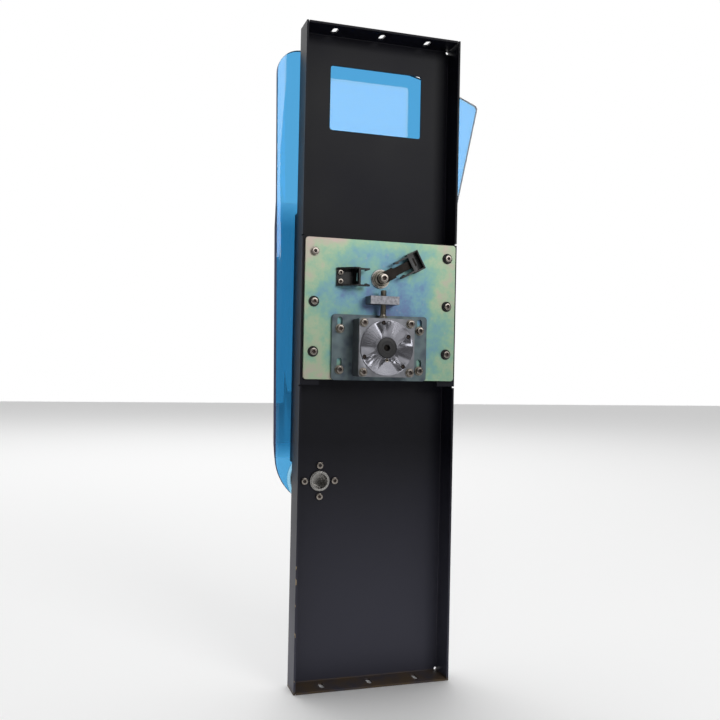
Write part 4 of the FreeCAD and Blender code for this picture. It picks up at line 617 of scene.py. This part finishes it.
def bearing(node, bore, wall=1.25):
    """A shielded ball bearing: two rings with broken edges, and between them a shield set back in a
    groove, with a raised lip in its middle; one closed profile turned round the shaft."""
    low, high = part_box(node)
    outer, thick = (high.x - low.x) / 2, high.y - low.y
    bore, wall, edge, back, lip = bore * MM, wall * MM, 0.3 * MM, 0.45 * MM, 0.12 * MM
    half = [(bore, edge), (bore + edge, 0), (bore + wall, 0), (bore + wall, back), (bore + 1.2 * wall, back)]
    middle = (bore + outer) / 2
    half += [(middle - lip, back), (middle, back - lip), (middle + lip, back)]
    half += [(outer - 1.2 * wall, back), (outer - wall, back), (outer - wall, 0), (outer - edge, 0),
             (outer, edge)]
    profile = half + [(radius, thick - depth) for radius, depth in reversed(half)] + [half[0]]
    centre = middle_of(low, high)
    centre[1] = low.y
    mesh = grid_mesh(node, [turned_grid(profile, centre, 72)], corner=24)
    return claim(new_piece(node + "_finished", mesh), ["ground"], node)


def upright(grid):
    """Swaps Y and Z, so that a grid turned about Y stands about Z."""
    return grid[..., [0, 2, 1]]


def threaded_rod(node, pitch, depth):
    """An upright rod whose radius falls by the thread's depth along a helix: the radius less the
    depth times a half plus half the cosine of the height in turns of the pitch less the angle.  Both
    ends fade to the depth of the thread."""
    low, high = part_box(node)
    radius, length = (high.x - low.x) / 2, high.z - low.z
    centre = ((low.x + high.x) / 2, low.z, (low.y + high.y) / 2)
    turns = int(length / (pitch * MM))
    steps = np.linspace(0, length, 10 * turns)
    fade_length = 0.4 * MM
    ends = [(0.0, 0.0)] + [(radius, height) for height in steps] + [(0.0, length)]

    def outline(radii, angle):
        bent = radii.copy()
        wave = 0.5 + 0.5 * np.cos(TURN * steps[:, None] / (pitch * MM) - angle)
        fade = np.clip(np.minimum(steps, length - steps) / fade_length, 0, 1)[:, None]
        bent[1:-1] = radius - depth * MM * (1 - fade * (1 - wave))
        return bent

    mesh = grid_mesh(node, [upright(turned_grid(ends, centre, 40, shape=outline))], corner=50)
    return claim(new_piece(node + "_finished", mesh), ["spacer"], node)


def jack_foot():
    """The jack screw's swivel foot, upright: a waist above a rounded pad."""
    low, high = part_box("jack_foot")
    radius, tall = (high.x - low.x) / 2, high.z - low.z
    angle = np.linspace(0, math.pi / 2, 7)
    pad = 0.5 * tall
    profile = [(0.0, 0.0), (0.80 * radius, 0.0)]
    profile += [(radius * (0.80 + 0.20 * math.sin(bend)), 0.12 * tall * (1 - math.cos(bend)))
                for bend in angle[1:]]
    profile += [(radius, pad), (0.93 * radius, 0.60 * tall), (0.72 * radius, 0.64 * tall),
                (0.70 * radius, 0.88 * tall), (0.76 * radius, 0.95 * tall), (0.76 * radius, tall),
                (0.0, tall)]
    centre = ((low.x + high.x) / 2, low.z, (low.y + high.y) / 2)
    mesh = grid_mesh("jack_foot", [upright(turned_grid(profile, centre, 56))])
    return claim(new_piece("jack_foot_finished", mesh), ["spacer"], "jack_foot")


def toothed_belt():
    """The belt: a path of two arcs and two tangents round the pulleys, with a flat back.  Its inner
    face rises at each tooth by 1.6 times the cosine of the distance run in tooth pitches, cut off
    below nought and above one.  Rows run round the belt's section and columns along the path."""
    low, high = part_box("drive_belt")
    small_low, small_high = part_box("small_pulley")
    # The pulleys turn under a belt that stays, so its teeth are only as deep as the gap between them.
    thick, tooth = 2.2 * MM, 0.2 * MM
    across = (low.x + high.x) / 2
    big_inner = (high.x - low.x) / 2 - thick
    top = high.z - thick - big_inner
    bottom = (small_low.z + small_high.z) / 2
    small_inner = bottom - low.z - thick
    teeth_big, teeth_small = 26, 13
    # Teeth that fit on a tangent, before the count is rounded to meet the arcs' teeth at both ends.
    tangent_teeth = 13.64
    lean = math.asin((big_inner - small_inner) / (top - bottom))
    step = math.radians(1.2)
    over = np.arange(-lean, math.pi + lean, step)
    under = np.arange(math.pi + lean, TURN - lean, step)
    centres = np.concatenate([np.full(len(over), top), np.full(len(under), bottom)])
    angle = np.concatenate([over, under])
    inner = np.concatenate([np.full(len(over), big_inner), np.full(len(under), small_inner)])
    turns = np.concatenate([over * teeth_big, under * teeth_small]) / TURN
    # The tangents, filled in evenly between the arcs' ends.
    fill = 160
    share = np.linspace(0, 1, fill, endpoint=False)[1:, None]
    rows = []
    for first, last in ((len(over) - 1, len(over)), (len(angle) - 1, 0)):
        shift = (turns[last] - turns[first]) % 1
        span_teeth = round(tangent_teeth - shift) + shift
        ends = [np.array([across + inner[end] * math.cos(angle[end]),
                          centres[end] + inner[end] * math.sin(angle[end])]) for end in (first, last)]
        way = np.array([math.cos(angle[first]), math.sin(angle[first])])
        rows.append((ends[0] + share * (ends[1] - ends[0]), np.repeat(way[None], fill - 1, axis=0),
                     turns[first] + share[:, 0] * span_teeth))
    arc = np.stack([across + inner * np.cos(angle), centres + inner * np.sin(angle)], axis=-1)
    outward = np.stack([np.cos(angle), np.sin(angle)], axis=-1)
    place = np.concatenate([arc[:len(over)], rows[0][0], arc[len(over):], rows[1][0]])
    outward = np.concatenate([outward[:len(over)], rows[0][1], outward[len(over):], rows[1][1]])
    phase = np.concatenate([turns[:len(over)], rows[0][2], turns[len(over):], rows[1][2]])
    rise = tooth * np.clip(1.6 * np.cos(TURN * phase), 0, 1)[:, None]
    face = place - rise * outward
    back = place + thick * outward
    front, rear = low.y, high.y
    edges = [(face, front), (back, front), (back, rear), (face, rear)]
    grid = np.stack([np.stack([line[:, 0], np.full(len(line), depth), line[:, 1]], axis=-1)
                     for line, depth in edges], axis=0)
    grid = np.concatenate([grid, grid[:1]], axis=0)
    mesh = grid_mesh("drive_belt", [grid], corner=40)
    return claim(new_piece("drive_belt_finished", mesh), ["rubber"], "drive_belt")


def turned_piece(node, finish, profile, segments=96):
    """A node's round shape from a profile in millimetres: radius, and depth from its lowest Y."""
    low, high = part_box(node)
    centre = middle_of(low, high)
    centre[1] = low.y
    scaled = [(radius * MM, depth * MM) for radius, depth in profile]
    mesh = grid_mesh(node, [turned_grid(scaled, centre, segments)])
    return claim(new_piece(node + "_finished", mesh), [finish], node)


# Folded, machined, moulded and cast parts: each node's finish, and its broken edges' width in mm.
EDGES = {
    "carrier_tray": ("tray", 0.35), "front_channel": ("channel", 0.35), "drive_plate": ("rainbow", 0.35),
    "unit_bracket": ("blue_zinc", 0.35), "unit_housing": ("housing", 0.45), "unit_cover": ("turned", 0.0),
    "unit_stator": ("copper", 0.3), "unit_rotor": ("magnet", 0.3), "unit_shaft": ("black_oxide", 0.3),
    "jack_block": ("sawn", 0.4), "crank_shaft": ("ground", 0.3), "flag_arm": ("black_oxide", 0.3),
    "arm_clip": ("black_nylon", 0.25), "sensor_bracket": ("black_enamel", 0.3),
    "sensor_clip": ("black_nylon", 0.25), "big_pulley": ("milled", 0.15), "small_pulley": ("milled", 0.15),
    "bearing_holder": ("milled", 0.3), "crank_arm": ("blue_zinc", 0.5), "crank_pin": ("ground", 0.3),
    "crank_roller": ("nylon", 0.3), "spindle_housing": ("milled", 0.3), "spindle_bush": ("bronze", 0.15),
    "wing_spindle": ("ground", 0.25), "spindle_circlip": ("ground", 0.12), "thrust_washer": ("nylon", 0.3),
    "clamp_ring": ("milled", 0.3), "slot_plate": ("blue_zinc", 0.3), "wing_panel": ("acrylic", 0.35),
    "wing_doubler": ("doubler", 0.25),
}
for node, (finish, width) in EDGES.items():
    # The sheets' edges take the opaque finish with the painted navy.
    rim = "acrylic_edge_painted_navy" if finish in ("acrylic", "doubler") else None
    broken_edges(node, finish, width * MM, rim)


def stand_off_doubler():
    """Clips the doubler's depth, so that its glued face stands off the panel by a glue line and its
    broken edges stay inside the node's own box."""
    glue_line, margin = 0.05 * MM, 0.01 * MM
    mesh = bpy.data.objects["wing_doubler_finished"].data
    low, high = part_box("wing_doubler")
    places = np.empty(3 * len(mesh.vertices))
    mesh.vertices.foreach_get("co", places)
    places[1::3] = np.clip(places[1::3], low.y + glue_line, high.y - margin)
    mesh.vertices.foreach_set("co", places)


stand_off_doubler()

screws("plate_screws", "m4", knurls=24)
screws("bracket_screws", "m4", knurls=24)
screws("unit_corner_screws", "m4", knurls=24)
screws("jack_block_screws", "m3")
screws("sensor_bracket_screws", "m3")
screws("arm_screw", "m5", knurls=28)
screws("housing_screws", "m4", knurls=24)
screws("unit_cover_screws", "m2", finish="black_oxide")
screws("channel_screws", "m4", facing=-1.0, knurls=24)
screws("holder_screws", "m3_low", facing=-1.0)
screws("hub_screws", "m4", facing=-1.0, knurls=24)
screws("slot_plate_screws", "m4", facing=-1.0, knurls=24)
screws("crank_screw", "m5_low", facing=-1.0)


def plate_washers():
    """Five plate washers sit on isolators and are as dark as they are; the sixth is plain and sits on
    the plate, further back."""
    mesh = washer_pairs("plate_washers", outer=4.5, head_radius=3.5, hole=2.2).data
    mesh.materials.append(FINISH["rubber"])
    isolator_low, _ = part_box("plate_isolators")
    middles = np.empty(3 * len(mesh.polygons))
    mesh.polygons.foreach_get("center", middles)
    mesh.polygons.foreach_set("material_index", (middles[1::3] < isolator_low.y).astype(int))


plate_washers()
washer_pairs("bracket_washers", outer=4.5, head_radius=3.5, hole=2.2)
washer_pairs("arm_washers", outer=5.0, head_radius=4.25, hole=2.7)
rings("unit_corner_washers", "spacer", hole=2.2)
rings("plate_isolators", "rubber", hole=2.25, edge=0.3 * MM)
nuts("lip_nuts")
nuts("channel_nuts")

bearing("rear_bearing", bore=5.04)
bearing("front_bearing", bore=5.04)
bearing("unit_rear_bearing", bore=5.04, wall=1.0)
bearing("unit_front_bearing", bore=4.04, wall=0.9)

threaded_rod("jack_screw", pitch=1.0, depth=0.55)
jack_foot()
toothed_belt()

# The hub: a domed black face round the shaft's tapped hole, a dark step at its rim and a stem.
turned_piece("unit_hub", "hub", [
    (3.0, 8.6), (3.0, 0.35), (3.35, 0.0), (5.2, 0.0), (5.35, 0.25), (5.9, 0.25), (6.05, 0.0), (8.9, 0.0),
    (9.35, 0.15), (9.6, 0.5), (9.6, 2.6), (5.0, 2.6), (5.0, 8.6), (3.0, 8.6)])
# The spacer: a stepped ring with turned grooves on the face that shows round the screw's washer.
turned_piece("shaft_spacer", "spacer", [
    (5.04, 0.3), (5.3, 0.0), (6.3, 0.0), (6.6, 0.2), (7.0, 0.5), (7.0, 2.55), (7.2, 2.85), (8.1, 2.85),
    (8.4, 3.1), (8.4, 4.2), (8.15, 4.45), (5.3, 4.45), (5.04, 4.2), (5.04, 0.3)])
# The eyelet: a rolled rim.
turned_piece("cover_eyelet", "nickel", [
    (0.9, 2.0), (0.9, 0.35), (1.0, 0.12), (1.25, 0.0), (1.6, 0.0), (1.85, 0.15), (1.9, 0.3), (1.75, 0.42),
    (1.2, 0.45), (1.2, 2.0), (0.9, 2.0)], segments=48)

# Marks on the turned cover, in mm from its middle: across, up, half length, half width, and lean in
# degrees.
MARKS = [(0.7, 21.9, 0.4, 0.4, 0.0), (-15.4, -6.3, 0.4, 0.4, 0.0), (9.9, -12.0, 0.45, 0.45, 0.0),
         (6.6, -12.4, 3.0, 0.45, 50.6)]


def mark_grid(centre, half_length, half_width, lean):
    """One mark as a low lens turned from a flat arc, whose radius is an ellipse's distance at that
    angle: both halves multiplied, over the length of the angle's cosine times the half width and its
    sine times the half length."""
    lens = [(0.0, 0.0), (0.5, 0.004), (0.85, 0.015), (1.0, 0.03), (0.0, 0.03)]

    def outline(radius, angle):
        turned = angle - math.radians(lean)
        reach = np.hypot(half_width * np.cos(turned), half_length * np.sin(turned))
        return radius * half_length * half_width / reach

    profile = [(share * MM, depth * MM) for share, depth in lens]
    return turned_grid(profile, centre, 40, shape=outline)


def cover_marks():
    """Three centre-punch dots and one scribed stroke on the turned cover."""
    low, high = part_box("unit_cover")
    axis = middle_of(low, high)
    proud = 0.02 * MM
    grids = []
    for across, up, half_length, half_width, lean in MARKS:
        centre = (axis[0] + across * MM, low.y - proud, axis[2] + up * MM)
        grids.append(mark_grid(centre, half_length, half_width, lean))
    piece = new_piece("cover_marks", grid_mesh("cover_marks", grids))
    piece.data.materials.append(FINISH["black_oxide"])
    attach(piece, BODY_OF["unit_cover"])


cover_marks()


# Stage: a pale floor, four soft lights, and a surround that is white behind the object.

def plane(name, half, height, finish):
    """A square sheet at a height, as wide each way from the origin as half says."""
    mesh = bpy.data.meshes.new(name)
    corners = [(-half, -half, height), (half, -half, height), (half, half, height), (-half, half, height)]
    mesh.from_pydata(corners, [], [(0, 1, 2, 3)])
    mesh.materials.append(finish)
    return new_piece(name, mesh)


def soft_light(name, place, turn, size, radiance):
    """A rectangle of even white light; its power is its radiance times its area times pi."""
    light = bpy.data.lights.new(name, "AREA")
    light.shape = "RECTANGLE"
    light.size, light.size_y = size
    light.energy = radiance * size[0] * size[1] * math.pi
    lamp = bpy.data.objects.new(name, light)
    lamp.location = place
    lamp.rotation_euler = [math.radians(angle) for angle in turn]
    bpy.context.scene.collection.objects.link(lamp)


def studio_world(front, behind):
    """Light from all round: white behind the object and dimmer on the camera's side, so that the dark
    coat keeps its depth."""
    world = bpy.data.worlds.new("studio")
    world.use_nodes = True
    tree = world.node_tree
    tree.nodes.clear()
    way = add(tree, "TexCoord").outputs["Generated"]
    depth = add(tree, "SeparateXYZ", {"Vector": way})
    level = add(tree, "MapRange", {"Value": depth.outputs["Y"], "From Min": -0.25, "From Max": 0.05,
                                   "To Min": front, "To Max": behind})
    light = add(tree, "Background", {"Color": linear("#ffffff"), "Strength": level.outputs["Result"]})
    add(tree, "OutputWorld", {"Surface": light.outputs["Background"]})
    bpy.context.scene.world = world


pale, _, _, _, _ = new_material("pale_floor", Base_Color=linear("#f4f4f4"), Roughness=0.9)
# The floor lies just under the object's lowest faces, so that no two faces coincide.
plane("floor", half=6.0, height=-0.1 * MM, finish=pale)
studio_world(front=0.15, behind=1.0)
# The key light is also the bright rectangle that the acrylic mirrors.
soft_light("key", (0.55, -1.5, 0.98), (90, 0, 0), size=(0.85, 0.72), radiance=4.8)
soft_light("behind", (0.0, 2.2, 2.6), (-35, 0, 0), size=(3.0, 2.0), radiance=2.0)
soft_light("low_left", (-1.5, -0.9, 0.35), (90, 0, -58), size=(0.5, 0.5), radiance=0.8)
soft_light("high_left", (-0.55, -1.6, 1.7), (55, 0, -18), size=(0.7, 0.5), radiance=3.0)

# Camera: at about the object's middle height, on the left and turned to the right, rolled slightly.
YAW, PITCH, ROLL = (math.radians(angle) for angle in (17.4709, 0.3727, 1.1661))
STAND = Vector((-0.27215, -0.81455, 0.31748))
ahead = Vector((math.sin(YAW) * math.cos(PITCH), math.cos(YAW) * math.cos(PITCH), math.sin(PITCH)))
level_right = Vector((math.cos(YAW), -math.sin(YAW), 0))
level_up = level_right.cross(ahead)
right = level_right * math.cos(ROLL) + level_up * math.sin(ROLL)
up = level_up * math.cos(ROLL) - level_right * math.sin(ROLL)
lens = bpy.data.cameras.new("camera")
lens.sensor_width = 36
lens.lens = 42.73
lens.clip_start = 0.02
camera = bpy.data.objects.new("camera", lens)
camera.matrix_world = Matrix((
    (right.x, up.x, -ahead.x, STAND.x), (right.y, up.y, -ahead.y, STAND.y),
    (right.z, up.z, -ahead.z, STAND.z), (0, 0, 0, 1)))
bpy.context.scene.collection.objects.link(camera)
bpy.context.scene.camera = camera
bpy.context.scene.view_settings.view_transform = "Standard"
